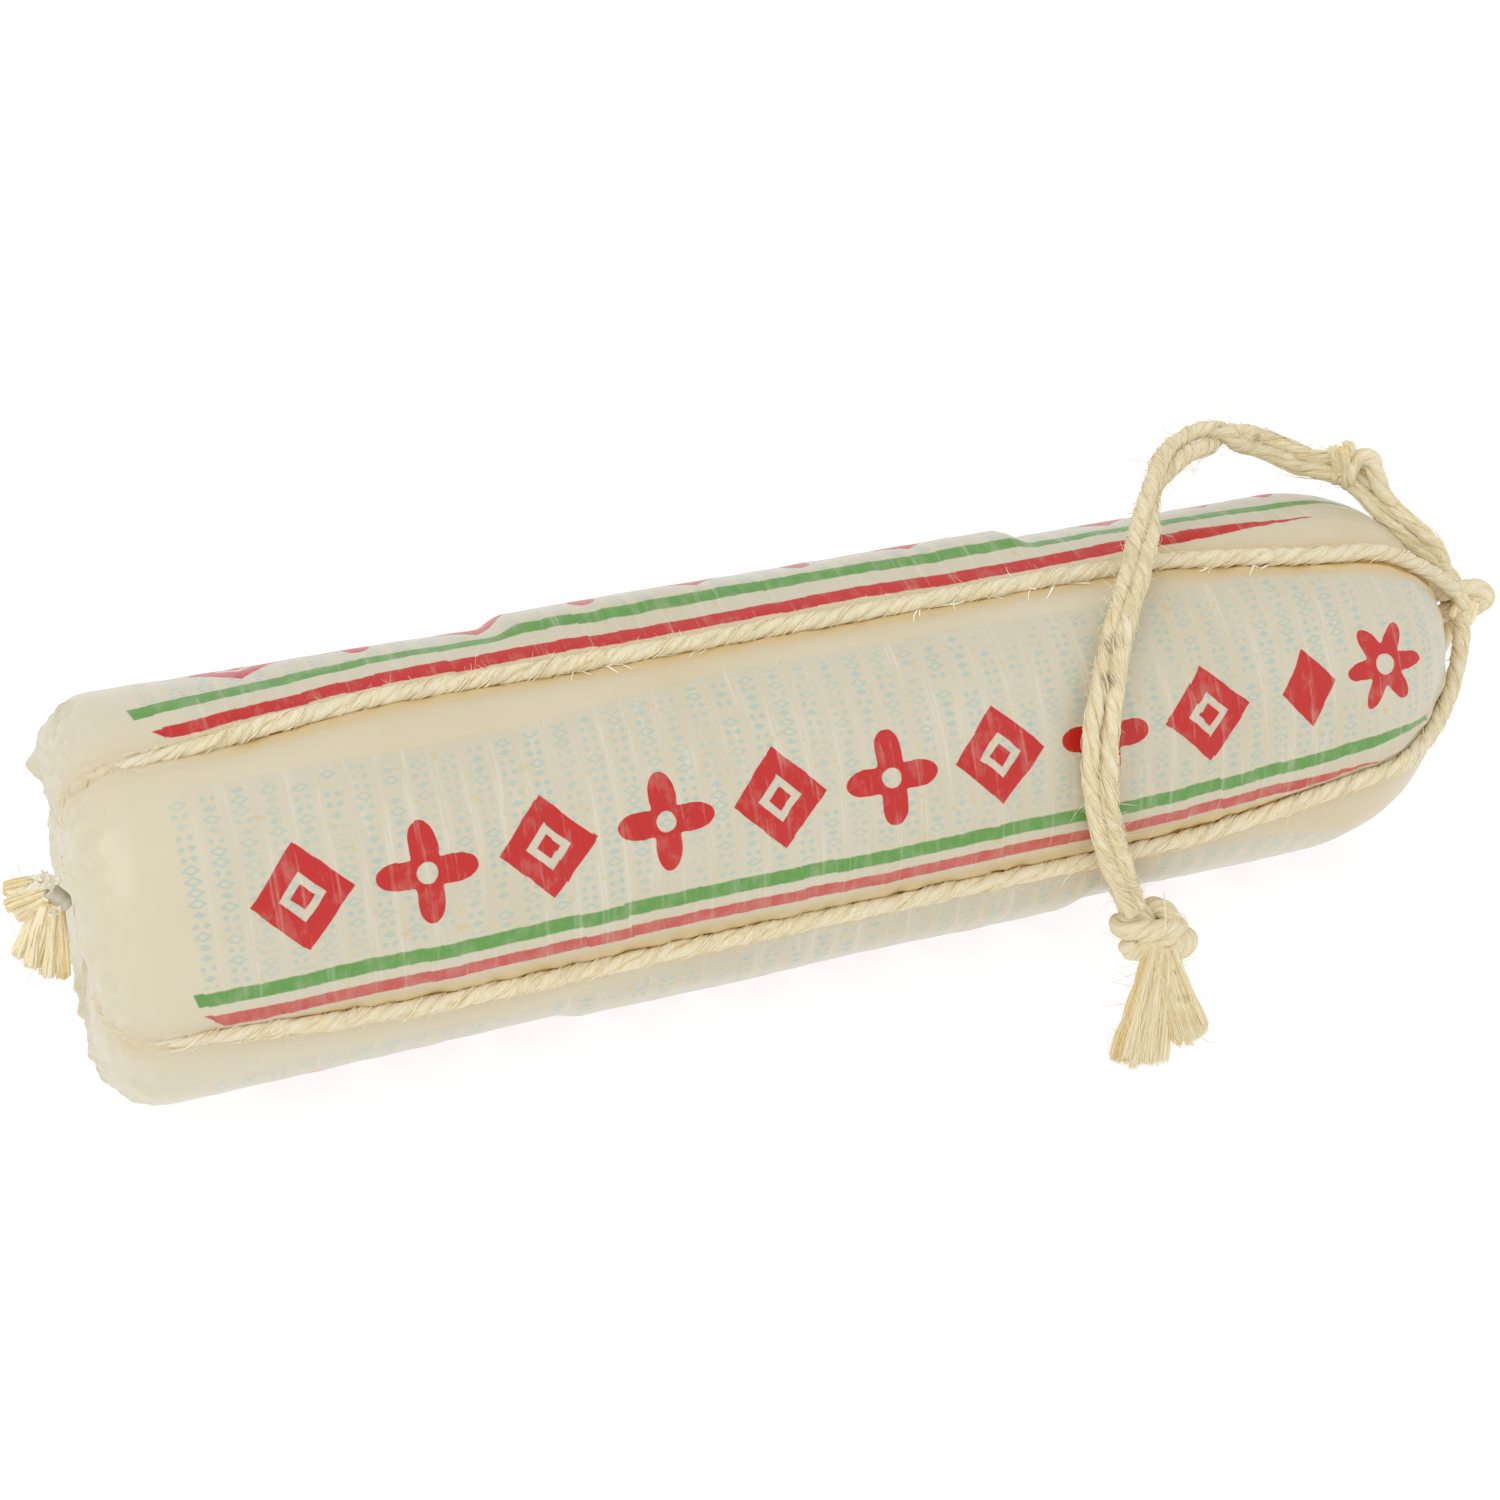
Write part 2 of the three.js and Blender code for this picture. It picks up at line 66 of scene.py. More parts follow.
ROPE_RADIUS = 2.8
ROPE_SINK, BLUNT_SINK = 0.6, 1.8
UNDER_ROPE_REACH = 53.4
LIFT, LIFT_WITHIN = 7.5, 0.75
SHOULDER_DEPTH, PRESSED_SHOULDER_DEPTH, SHOULDER_WIDTH = 2.0, 0.5, 11.0
GROOVE_WIDTH = 3.5
FILLET_AT, FILLET_WIDTH, FILLET_HEIGHT = 3.3, 1.2, 1.15
GROOVE_SHADE_REACH = 7.5                  # how far from a rope the painted golden shade of its groove reaches
WAX_UNDER_ROPE = 0.9
# The wax has run over the ropes from this x to the blunt end, down to this far from the axis.
BURIED_FROM, BURIED_LENGTH = -156, 50
BURIED_OUTSIDE, BURIED_EDGE = 16, 12

# Each run of rope by its angle round the axis (0 faces -Y, 90 faces up) at the blunt end,
# in the middle and at the domed end, and whether the cheese's weight presses it in.
RUNS = {
    "binding_rope_top": (71.0, 78.6, 66.0, False),
    "binding_rope_back": (162.5, 162.5, 160.0, False),
    "binding_rope_under": (257.5, 257.5, 262.0, True),
    "binding_rope_front": (349.0, 342.5, 354.0, False),
}
TURN_BLUNT_FROM, TURN_DOMED_FROM, TURN_LENGTH = -116.0, 94.0, 90.0
# Panels that stand proud in the middle: angle, half angle and height.
PANEL_BULGES = [(126.0, 34.0, 3.2), (300.0, 34.0, 1.8)]
BULGE_FROM, BULGE_TO, BULGE_EDGE, BULGE_SIDE = -86.0, 76.0, 9.0, 12.0

# ---------------------------------------------------------------- the loop's and knots' sizes

SHOULDER_ROUTE = [
    (218.5, -5, 87), (215.5, -5, 91.5), (210, -3, 98.8), (204, 2.5, 104.8), (200.2, 8, 110),
    (197.8, 10.8, 112.6),
]
HITCH = (193.0, 15.3, 116.0)
LOOP_ROUTE = [
    (187.2, 18.4, 117.4), (180.2, 20.5, 118.9), (171.5, 21.5, 123.3), (162, 21, 128.4),
    (151.5, 18.5, 132.8), (140.7, 15, 136), (130.5, 10.5, 136.8), (122.6, 6, 136), (116.9, 2, 134.4),
    (111.4, -3, 131.9), (106.8, -9, 128.1), (103, -15, 123.5), (98.8, -20.5, 118.6),
    (93.1, -27.5, 115.1), (87.4, -34.5, 111.2), (82, -41, 106.4), (77.3, -47, 99.8),
    (73, -52.8, 92.2), (69.9, -57.5, 84.3), (68.6, -61, 75),
    (69, -63, 64.5), (71.7, -64, 52.8), (76.6, -63, 39.8), (82.1, -60.5, 28.3), (85.6, -59.2, 21.2),
]
END_KNOT = (221.0, -14.0, 78.5)
TAIL_KNOT = (92.0, -58.0, 11.0)
CLIP_CENTRE, CLIP_AXIS = (-219.8, -2.4, 62.4), (0.62, -0.22, -0.75)
CLIP_WIDTH, CLIP_LENGTH = 5.2, 7.2
# Each frayed end by where it leaves its rope, where it points and the direction it is broad in.
TASSEL_START = (93.0, -63.0, 8.6)
TASSEL_NEAR_BUNCH = (TASSEL_START, (61.8, -107.6, 3.0), (0.79, -0.61, 0.0))
TASSEL_FAR_BUNCH = (TASSEL_START, (81.6, -104.4, 3.4), (0.96, -0.27, 0.0))
LEFT_END = ((-223.0, -1.2, 64.8), (-234.4, -3.2, 64.4), (0.1, 0.35, 0.93))
LOWER_END = ((-222.4, -3.9, 62.0), (-228.6, -7.3, 41.8), (0.97, -0.1, -0.12))
HITCH_STUB_TIP = (186.2, 11.6, 127.6)


# ---------------------------------------------------------------- numbers

def clamp01(t):
    """t held between 0 and 1."""
    return np.clip(t, 0.0, 1.0)


def smooth(t):
    """0 below 0, 1 above 1, and t^2 (3 - 2 t) between."""
    t = clamp01(t)
    return t * t * (3 - 2 * t)


def bell(off, width):
    """exp(-(off/width)^2): 1 in the middle, and 0.37 a width away from it."""
    return np.exp(-((off / width) ** 2))


def mix(a, b, t):
    """The value a share t of the way from a to b."""
    return a + (b - a) * t


def unit(v):
    """Vectors of length 1 in the same directions."""
    return v / np.maximum(np.linalg.norm(v, axis=-1, keepdims=True), 1e-9)


RIPPLE_GAIN = 1.6                # the mean of five sines seldom comes near its limits


def ripple(seed, *coordinates):
    """A soft, repeatable unevenness, mostly within -1..1: the mean of five sines, raised by a
    gain, each along its own random direction of the coordinates and with its own phase, from
    1 to 2.7 turns a unit."""
    rng = np.random.default_rng(seed)
    total = 0.0
    for _ in range(5):
        along = rng.normal(size=len(coordinates))
        along *= rng.uniform(1.0, 2.7) / np.linalg.norm(along)
        wave = sum(a * c for a, c in zip(along, coordinates))
        total = total + np.sin(TAU * (wave + rng.uniform()))
    return total / 5 * RIPPLE_GAIN


def spline(points, step):
    """The centripetal Catmull-Rom curve through the points, sampled evenly about every step.

    Each stretch is the cubic that has, at both its ends, the slope of the parabola through
    three neighbouring points, with the square root of their distance as time."""
    p = np.asarray(points, float)
    p = np.vstack([2 * p[0] - p[1], p, 2 * p[-1] - p[-2]])
    gap = np.sqrt(np.linalg.norm(np.diff(p, axis=0), axis=1))[:, None]
    before, here, after = gap[:-2], gap[1:-1], gap[2:]
    a, b, c, d = p[:-3], p[1:-2], p[2:-1], p[3:]
    leave = ((b - a) / before - (c - a) / (before + here) + (c - b) / here) * here
    reach = ((c - b) / here - (d - b) / (here + after) + (d - c) / after) * here
    t = np.linspace(0, 1, 24, endpoint=False)[None, :, None]
    b, c, leave, reach = (v[:, None, :] for v in (b, c, leave, reach))
    square, cube = 3 * (c - b) - 2 * leave - reach, 2 * (b - c) + leave + reach
    curve = b + leave * t + square * t**2 + cube * t**3
    return evenly(np.vstack([curve.reshape(-1, 3), p[-2]]), step)


def evenly(line, step):
    """The same line with points an even step of its length apart."""
    travelled = np.concatenate([[0], np.cumsum(np.linalg.norm(np.diff(line, axis=0), axis=1))])
    count = max(2, int(round(travelled[-1] / step)) + 1)
    wanted = np.linspace(0, travelled[-1], count)
    return np.stack([np.interp(wanted, travelled, line[:, k]) for k in range(3)], axis=1)


def line_length(line):
    """The summed length of a line's stretches."""
    return float(np.linalg.norm(np.diff(line, axis=0), axis=1).sum())


def across_line(line, reference):
    """Two unit vectors square to a line: reference x tangent, and tangent x that."""
    tangent = unit(np.gradient(line, axis=0))
    side = unit(np.cross(np.broadcast_to(reference, tangent.shape), tangent))
    return side, np.cross(tangent, side)


# ---------------------------------------------------------------- meshes

class Shell:
    """Points, triangles and named point values that gather into one mesh."""

    def __init__(self):
        self.points, self.triangles, self.values = [], [], {}
        self.count = 0

    def add(self, points, triangles, **values):
        """Takes in points, triangles that count from the first of them, and point values."""
        self.points.append(points)
        self.triangles.append(triangles + self.count)
        self.count += len(points)
        for name, value in values.items():
            self.values.setdefault(name, []).append(value)

    def take_in(self, other):
        """Adds another shell's whole mesh."""
        values = {name: np.vstack(parts) for name, parts in other.values.items()}
        self.add(np.vstack(other.points), np.vstack(other.triangles), **values)

    def grid(self, points, **values):
        """A skin over rows x columns of points whose columns close on themselves, with its ends
        shut by fans to the mean of the first and of the last row."""
        rows, columns = points.shape[:2]
        here = np.arange(rows * columns).reshape(rows, columns)
        a, b = here[:-1], here[1:]
        c, d = np.roll(b, -1, axis=1), np.roll(a, -1, axis=1)
        low, high = here[0], here[-1]
        first, last = np.full(columns, rows * columns), np.full(columns, rows * columns + 1)
        faces = [
            np.stack([a, d, b], -1).reshape(-1, 3),
            np.stack([d, c, b], -1).reshape(-1, 3),
            np.stack([first, np.roll(low, -1), low], -1),
            np.stack([last, high, np.roll(high, -1)], -1),
        ]
        flat = np.vstack([points.reshape(-1, 3), points[0].mean(0), points[-1].mean(0)])
        values = {k: v.reshape(rows * columns, -1) for k, v in values.items()}
        values = {
            k: np.vstack([v, v[:columns].mean(0), v[-columns:].mean(0)]) for k, v in values.items()
        }
        self.add(flat, np.vstack(faces), **values)

    def many(self, points, **values):
        """A closed tube for each of count x rows x columns points."""
        count, rows, columns = points.shape[:3]
        one = Shell()
        one.grid(points[0])
        size = one.count
        offsets = (np.arange(count) * size)[:, None, None]
        triangles = (one.triangles[0][None] + offsets).reshape(-1, 3)

        def with_poles(v):
            """Values of the points, and the means of each tube's first and last rows."""
            v = v.reshape(count, rows, columns, -1)
            body = v.reshape(count, rows * columns, -1)
            whole = np.concatenate([body, v[:, :1].mean(2), v[:, -1:].mean(2)], axis=1)
            return whole.reshape(count * size, -1)

        self.add(with_poles(points), triangles, **{k: with_poles(v) for k, v in values.items()})

    def piece(self, name, material, slot, *nodes):
        """Writes the mesh in metres, gives it its finish, and lets it stand for its CAD nodes."""
        points = np.vstack(self.points) * MM
        triangles = np.vstack(self.triangles)
        mesh = bpy.data.meshes.new(name)
        mesh.vertices.add(len(points))
        mesh.vertices.foreach_set("co", points.ravel().astype(np.float32))
        mesh.loops.add(3 * len(triangles))
        mesh.loops.foreach_set("vertex_index", triangles.ravel().astype(np.int32))
        mesh.polygons.add(len(triangles))
        mesh.polygons.foreach_set("loop_start", np.arange(0, 3 * len(triangles), 3, dtype=np.int32))
        mesh.polygons.foreach_set("use_smooth", np.ones(len(triangles), dtype=bool))
        for key, parts in self.values.items():
            value = np.vstack(parts).astype(np.float32)
            kind, field = ("FLOAT_VECTOR", "vector") if value.shape[1] == 3 else ("FLOAT", "value")
            mesh.attributes.new(key, kind, "POINT").data.foreach_set(field, value.ravel())
        mesh.update(calc_edges=True)
        mesh.validate()
        mesh.materials.append(material)
        piece = bpy.data.objects.new(name, mesh)
        bpy.context.scene.collection.objects.link(piece)
        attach(piece, "root")
        if nodes:
            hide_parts(*nodes)
        return piece


# ---------------------------------------------------------------- shader maths

class Value:
    """One number, colour or vector in a material, on which Python's operators add Math nodes."""

    def __init__(self, paint, socket):
        self.paint, self.socket = paint, socket

    def __rsub__(self, other):
        return self.paint.math("SUBTRACT", other, self)


def math_method(operation):
    """A method that joins its value, and what else it is given, in a Math node."""
    return lambda value, *others: value.paint.math(operation, value, *others)


for method, operation in {
    "__add__": "ADD", "__radd__": "ADD", "__sub__": "SUBTRACT", "__mul__": "MULTIPLY",
    "__rmul__": "MULTIPLY", "__truediv__": "DIVIDE", "__mod__": "FLOORED_MODULO",
    "__abs__": "ABSOLUTE", "__gt__": "GREATER_THAN", "__lt__": "LESS_THAN",
}.items():
    setattr(Value, method, math_method(operation))


class Paint:
    """A material whose nodes are made by expressions."""

    def __init__(self, name, **fixed):
        self.material = bpy.data.materials.new(name)
        self.material.use_nodes = True
        self.nodes = self.material.node_tree.nodes
        self.links = self.material.node_tree.links
        self.shader = next(n for n in self.nodes if n.type == "BSDF_PRINCIPLED")
        for socket, value in fixed.items():
            self.shader.inputs[socket.replace("_", " ")].default_value = value

    def put(self, socket, value):
        """Links a Value to a socket, or sets the socket to a plain number or colour."""
        if isinstance(value, Value):
            self.links.new(value.socket, socket)
        else:
            socket.default_value = value

    def add(self, kind, settings, inputs, output=0):
        """Adds a node of a type, with its settings first and then the values of its sockets."""
        node = self.nodes.new(kind)
        for name, value in settings.items():
            setattr(node, name, value)
        for key, value in inputs.items():
            self.put(node.inputs[key], value)
        return Value(self, node.outputs[output])

    def math(self, operation, *values, clamp=False):
        """A Math node; clamp holds its result between 0 and 1."""
        return self.add(
            "ShaderNodeMath", {"operation": operation, "use_clamp": clamp}, dict(enumerate(values))
        )

    def most(self, a, b):
        """The larger of two values."""
        return self.math("MAXIMUM", a, b)

    def either(self, *masks):
        """The largest of several masks."""
        whole = masks[0]
        for mask in masks[1:]:
            whole = self.most(whole, mask)
        return whole

    def ease(self, value, low, high):
        """0 below low and 1 above high, or the other way round where low is the larger."""
        flip = low > high
        inputs = {0: value, 1: min(low, high), 2: max(low, high), 3: float(flip), 4: float(not flip)}
        return self.add("ShaderNodeMapRange", {"interpolation_type": "SMOOTHSTEP"}, inputs)

    def within(self, value, centre, half, soft):
        """1 within half of a centre, and a soft edge as wide as soft."""
        off = abs(value - centre)
        return self.math("DIVIDE", half - off + soft / 2, soft, clamp=True)

    def noise(self, vector, scale, detail=2.0, rough=0.5):
        """Smooth noise in 0..1, mostly near 0.5, with scale lumps a unit of the vector."""
        inputs = {"Vector": vector, "Scale": scale, "Detail": detail, "Roughness": rough}
        return self.add("ShaderNodeTexNoise", {}, inputs)

    def stretched(self, vector, factors):
        """A vector with each of its values multiplied."""
        inputs = {0: vector, 1: factors}
        return self.add("ShaderNodeVectorMath", {"operation": "MULTIPLY"}, inputs)

    def random(self, *numbers):
        """A random number in 0..1 for each whole number or pair of them."""
        vector = self.vector(*numbers, *([0.5] * (3 - len(numbers))))
        return self.add("ShaderNodeTexWhiteNoise", {"noise_dimensions": "3D"}, {"Vector": vector})

    def vector(self, x, y, z):
        """A vector of three values."""
        return self.add("ShaderNodeCombineXYZ", {}, {0: x, 1: y, 2: z})

    def split(self, vector):
        """A vector's three values."""
        node = self.nodes.new("ShaderNodeSeparateXYZ")
        self.put(node.inputs[0], vector)
        return [Value(self, socket) for socket in node.outputs]

    def place(self):
        """Object coordinates in millimetres."""
        at = self.add("ShaderNodeTexCoord", {}, {}, "Object")
        return self.add("ShaderNodeVectorMath", {"operation": "SCALE"}, {0: at, "Scale": 1 / MM})

    def attribute(self, name, output="Fac"):
        """A named point value of the mesh."""
        return self.add("ShaderNodeAttribute", {"attribute_name": name}, {}, output)

    def blend(self, below, above, amount):
        """One colour over another by an amount."""
        return self.add("ShaderNodeMix", {"data_type": "RGBA"}, {0: amount, 6: below, 7: above}, 2)

    def finish(self, colour, roughness, height=None, depth=0.0):
        """Feeds the shader; height in 0..1 is a relief of depth millimetres."""
        self.put(self.shader.inputs["Base Color"], colour)
        self.put(self.shader.inputs["Roughness"], roughness)
        if height is not None:
            inputs = {"Strength": 1.0, "Distance": depth * MM, "Height": height}
            bump = self.add("ShaderNodeBump", {}, inputs)
            self.put(self.shader.inputs["Normal"], bump)
        return self.material


def colour(red, green, blue):
    """A colour named by its 0..255 screen values, as the linear colour that a shader takes."""
    screen = np.array([red, green, blue]) / 255
    linear = np.where(screen <= 0.04045, screen / 12.92, ((screen + 0.055) / 1.055) ** 2.4)
    return (*linear.tolist(), 1.0)


# ---------------------------------------------------------------- the cheese's skin

def barrel_radius(x):
    """The barrel's radius, which swells in a straight line towards the blunt end."""
    return mix(BARREL_RADIUS, BLUNT_RADIUS, clamp01((SWELL_FROM - x) / SWELL_LENGTH))


def blunt_cap(r):
    """The blunt end at a distance r from the axis, and its outward normal (x, r): a shallow
    dish, then a quarter ellipse round the corner."""
    face = BLUNT_RADIUS - CORNER_ACROSS
    slope = -2 * BLUNT_DISH * r / face**2
    dish = np.hypot(1, slope)
    t = np.arcsin(clamp01((r - face) / CORNER_ACROSS))
    nx, nr = -np.cos(t) / CORNER_ALONG, np.sin(t) / CORNER_ACROSS
    size = np.hypot(nx, nr)
    x = np.where(r <= face, BLUNT_DISH * (1 - (r / face) ** 2), CORNER_ALONG * (1 - np.cos(t)))
    nx = np.where(r <= face, -1 / dish, nx / size)
    return BLUNT_END_X + x, nx, np.where(r <= face, slope / dish, nr / size)


def domed_cap(r):
    """The domed end in the same terms: a quarter ellipse."""
    t = np.arcsin(clamp01((r - (BARREL_RADIUS - DOME_ACROSS)) / DOME_ACROSS))
    nx, nr = np.cos(t) / DOME_ALONG, np.sin(t) / DOME_ACROSS
    size = np.hypot(nx, nr)
    return DOMED_END_X - DOME_ALONG * (1 - np.cos(t)), nx / size, nr / size


def skin_place(part, along, angle):
    """Places on the bare skin as (x, y, z, nx, nr, r) off the axis.  On the barrel, along is x.
    On a cap it is the share of the way from where the ropes gather out to the rim."""
    c, s = -np.cos(np.radians(angle)), np.sin(np.radians(angle))
    if part == "barrel":
        r = barrel_radius(along) + 0 * angle
        return along + 0 * angle, r * c, r * s, 0 * r, 0 * r + 1, r
    rim = BLUNT_RADIUS if part == "blunt" else BARREL_RADIUS
    y, z = mix(GATHER[part][0], rim * c, along), mix(GATHER[part][1], rim * s, along)
    r = np.hypot(y, z)
    x, nx, nr = (blunt_cap if part == "blunt" else domed_cap)(r)
    return x, y, z, nx, nr, r


def part_x(part, along):
    """The x by which a station's ropes are turned: its own on the barrel, its rim's on a cap."""
    if part == "barrel":
        return along
    return 0 * along + (BLUNT_BARREL_X if part == "blunt" else DOMED_BARREL_X)


def run_angle(name, x):
    """A run's angle round the axis at x, eased from its middle one to that of each end."""
    blunt, middle, domed, _ = RUNS[name]
    to_blunt = smooth((TURN_BLUNT_FROM - x) / TURN_LENGTH)
    to_domed = smooth((x - TURN_DOMED_FROM) / TURN_LENGTH)
    return middle + (blunt - middle) * to_blunt + (domed - middle) * to_domed


def rope_sink(name, nx, r):
    """How far a rope's centre lies below the bare skin: further where the skin faces the blunt
    end, and for the pressed run at least as deep as keeps it above the ground."""
    sink = ROPE_SINK + BLUNT_SINK * smooth(-nx * 2.4)
    return np.maximum(sink, r - UNDER_ROPE_REACH) if RUNS[name][3] else sink


def rope_distance(name, x, y, z):
    """How far places lie from a run's line, measured square to the axis."""
    to_blunt = smooth((GATHER_FROM["blunt"] - x) / GATHER_LENGTH["blunt"])
    to_domed = smooth((x - GATHER_FROM["domed"]) / GATHER_LENGTH["domed"])
    gather_y = GATHER["blunt"][0] * to_blunt + GATHER["domed"][0] * to_domed
    gather_z = GATHER["blunt"][1] * to_blunt + GATHER["domed"][1] * to_domed
    angle = np.radians(run_angle(name, x))
    tip_y = -BLUNT_RADIUS * np.cos(angle) - gather_y
    tip_z = BLUNT_RADIUS * np.sin(angle) - gather_z
    dy, dz = y - gather_y, z - gather_z
    t = clamp01((dy * tip_y + dz * tip_z) / (tip_y**2 + tip_z**2))
    return np.hypot(dy - t * tip_y, dz - t * tip_z)


def groove_depth(place):
    """How far the ropes press the skin in, and how near the nearest one is: for each rope at a
    distance d, a soft shoulder exp(-(d/11)^2), a narrow groove exp(-(d/3.5)^3), an uneven fillet
    of wax where the skin meets the rope's flank, and, where the wax has run over the rope, a
    raised vein along it instead."""
    x, y, z, nx, _, r = place
    depth, nearness = 0.0, 0.0
    for k, name in enumerate(RUNS):
        d = rope_distance(name, x, y, z)
        shoulder = PRESSED_SHOULDER_DEPTH if RUNS[name][3] else SHOULDER_DEPTH
        waxed = buried(x, r)
        floor = rope_sink(name, nx, r) + ROPE_RADIUS - WAX_UNDER_ROPE
        run = (floor - shoulder) * (1 - 0.9 * waxed) * np.exp(-((d / GROOVE_WIDTH) ** 3))
        run = run + shoulder * bell(d, SHOULDER_WIDTH)
        fillet = clamp01(0.7 + 0.55 * ripple(20 + k, x / 15, y / 40, z / 40)) * (1 - waxed)
        run = run - FILLET_HEIGHT * fillet * bell(d - FILLET_AT, FILLET_WIDTH)
        vein = 0.75 + 0.5 * ripple(26 + k, x / 12, y / 14, z / 14)
        vein = vein * (0.9 * bell(d, 1.0) + 0.6 * bell(d - 2.9, 0.8))
        run = run - waxed * np.maximum(vein, 0.0)
        depth = np.maximum(depth, run)
        # nearness sets the painted golden shade in the groove beside a rope
        nearness = np.maximum(nearness, bell(d, GROOVE_SHADE_REACH))
    return depth, nearness


def panel_bulge(x, angle):
    """How far the panels between the ropes stand proud of the barrel."""
    along = smooth((x - BULGE_FROM) / BULGE_EDGE + 0.5) * smooth((BULGE_TO - x) / BULGE_EDGE + 0.5)
    height = 0.0
    for centre, half, most in PANEL_BULGES:
        off = np.abs((angle - centre + 540) % 360 - 180)
        height = height + most * along * smooth((half - off) / BULGE_SIDE)
    return height


def set_off(place, outward):
    """Moves places along their normals, leans the domed end, and lifts them off the axis."""
    x, y, z, nx, nr, r = place
    radial = 1 + nr * outward / np.maximum(r, 1e-6)
    y, z, x = y * radial, z * radial, x + nx * outward
    lean = LEAN * clamp01((x - LEAN_FROM) / LEAN_LENGTH)
    return np.stack([x + lean * z, y, AXIS_HEIGHT + z], axis=-1)


# Drips and beads of wax: place off the axis, reach and height.
WAX_BEADS = [
    ((-217.0, 20.0, 36.0), 3.0, 3.9), ((-214.5, 22.0, 42.0), 4.6, 1.6),
    ((-217.4, -43.0, 17.0), 4.2, 1.3), ((-218.0, 6.0, -38.5), 3.0, 1.8),
    ((-218.0, 14.5, -36.0), 2.6, 1.7), ((-218.0, -14.0, -38.5), 3.2, 1.8),
    ((-218.0, 24.0, -32.6), 3.0, 1.2), ((-218.0, -24.0, -37.0), 2.6, 1.3),
    ((-216.8, -6.0, -46.0), 4.0, 1.8), ((-216.0, -24.0, -40.0), 4.2, 1.4),
    ((-205.0, -14.0, 57.0), 2.4, 0.5), ((-212.0, -52.0, -14.0), 3.2, 1.3),
    ((-217.0, -30.0, -33.0), 3.4, 1.2), ((-214.0, -50.0, 6.0), 5.0, 0.8),
    ((196.0, -40.0, 12.0), 5.0, 0.5), ((-150.0, -40.0, 41.0), 3.0, 0.3),
    ((-98.0, 14.0, 56.0), 2.6, 0.5),
]


def wax_relief(place):
    """The poured wax: long swells, small dimples, lumps beside the ropes at the blunt end, and
    the drips, each a bell exp(-(distance/reach)^2)."""
    x, y, z, nx, _, r = place
    relief = 0.34 * ripple(1, x / 95, y / 70, z / 70) + 0.12 * ripple(2, x / 30, y / 26, z / 26)
    relief = relief + 0.05 * ripple(3, x / 11, y / 10, z / 10)
    corner = smooth(-nx * 1.6) * smooth((r - 26) / 12)
    relief = relief + 0.6 * corner * ripple(4, x / 20, y / 15, z / 15)
    relief = relief + 0.5 * corner * ripple(5, x / 12, y / 8, z / 8)
    for (bx, by, bz), reach, height in WAX_BEADS:
        off = (x - bx) ** 2 + (y - by) ** 2 + (z - bz) ** 2
        relief = relief + height * np.exp(-off / reach**2)
    return relief


PANEL_COLUMNS = 57
BLUNT_ROWS, BARREL_ROWS, DOMED_ROWS = 52, 258, 96
CROWDING = 0.62                  # how much closer the columns stand beside a rope


def skin_angles(x):
    """Columns of angles round the cheese: between neighbouring ropes they follow
    w - crowding sin(2 pi w) / (2 pi), which is dense beside both."""
    w = np.arange(PANEL_COLUMNS) / PANEL_COLUMNS
    w = w - CROWDING * np.sin(TAU * w) / TAU
    starts = [run_angle(name, x) for name in RUNS]
    ends = [*starts[1:], starts[0] + 360]
    starts = [starts[-1] - 360, *starts[:-1]]
    ends = [ends[-1] - 360, *ends[:-1]]
    return np.concatenate([mix(a, b, w[None, :]) for a, b in zip(starts, ends)], axis=1)


def cheese_skin():
    """The waxed skin, as rings from the middle of the blunt face to the tip of the dome."""
    steps = {
        "blunt": 1 - (1 - np.linspace(0.012, 1, BLUNT_ROWS, endpoint=False)) ** 1.15,
        "barrel": np.linspace(BLUNT_BARREL_X, DOMED_BARREL_X, BARREL_ROWS),
        "domed": np.sin(np.linspace(math.pi / 2, 0.01, DOMED_ROWS + 1)[1:]),
    }
    rows, near = [], []
    for part, along in steps.items():
        along = along[:, None]
        angle = skin_angles(part_x(part, along))
        place = skin_place(part, along, angle)
        depth, nearness = groove_depth(place)
        outward = panel_bulge(place[0], angle) - depth + wax_relief(place)
        rows.append(set_off(place, outward))
        near.append(nearness)
    points = np.vstack(rows)
    points[..., 2] = np.maximum(points[..., 2], 0.0)
    shell = Shell()
    # near_rope carries the painted golden shade beside the ropes to the skin's finish
    shell.grid(points[:, ::-1], near_rope=np.vstack(near)[:, ::-1])
    return shell


# ---------------------------------------------------------------- ropes

def winding(line, lay):
    """Turns made from the start of a line on, where a turn takes lay millimetres; a negative
    lay turns the other way, and one number a point lets it vary."""
    step = line_length(line) / (len(line) - 1)
    return np.cumsum(np.broadcast_to(step / np.asarray(lay, float), len(line)))


# A strand's radius as a share of its rope's, by the number of strands.
STRAND_SHARE = {3: 0.56, 5: 0.90 / math.sqrt(5)}
STRAND_OVAL = (0.90, 1.12)       # a strand's section, outwards and across, on its radius
TURN_BACK = 1.7                  # the rope's turns that take its fibres once round a strand


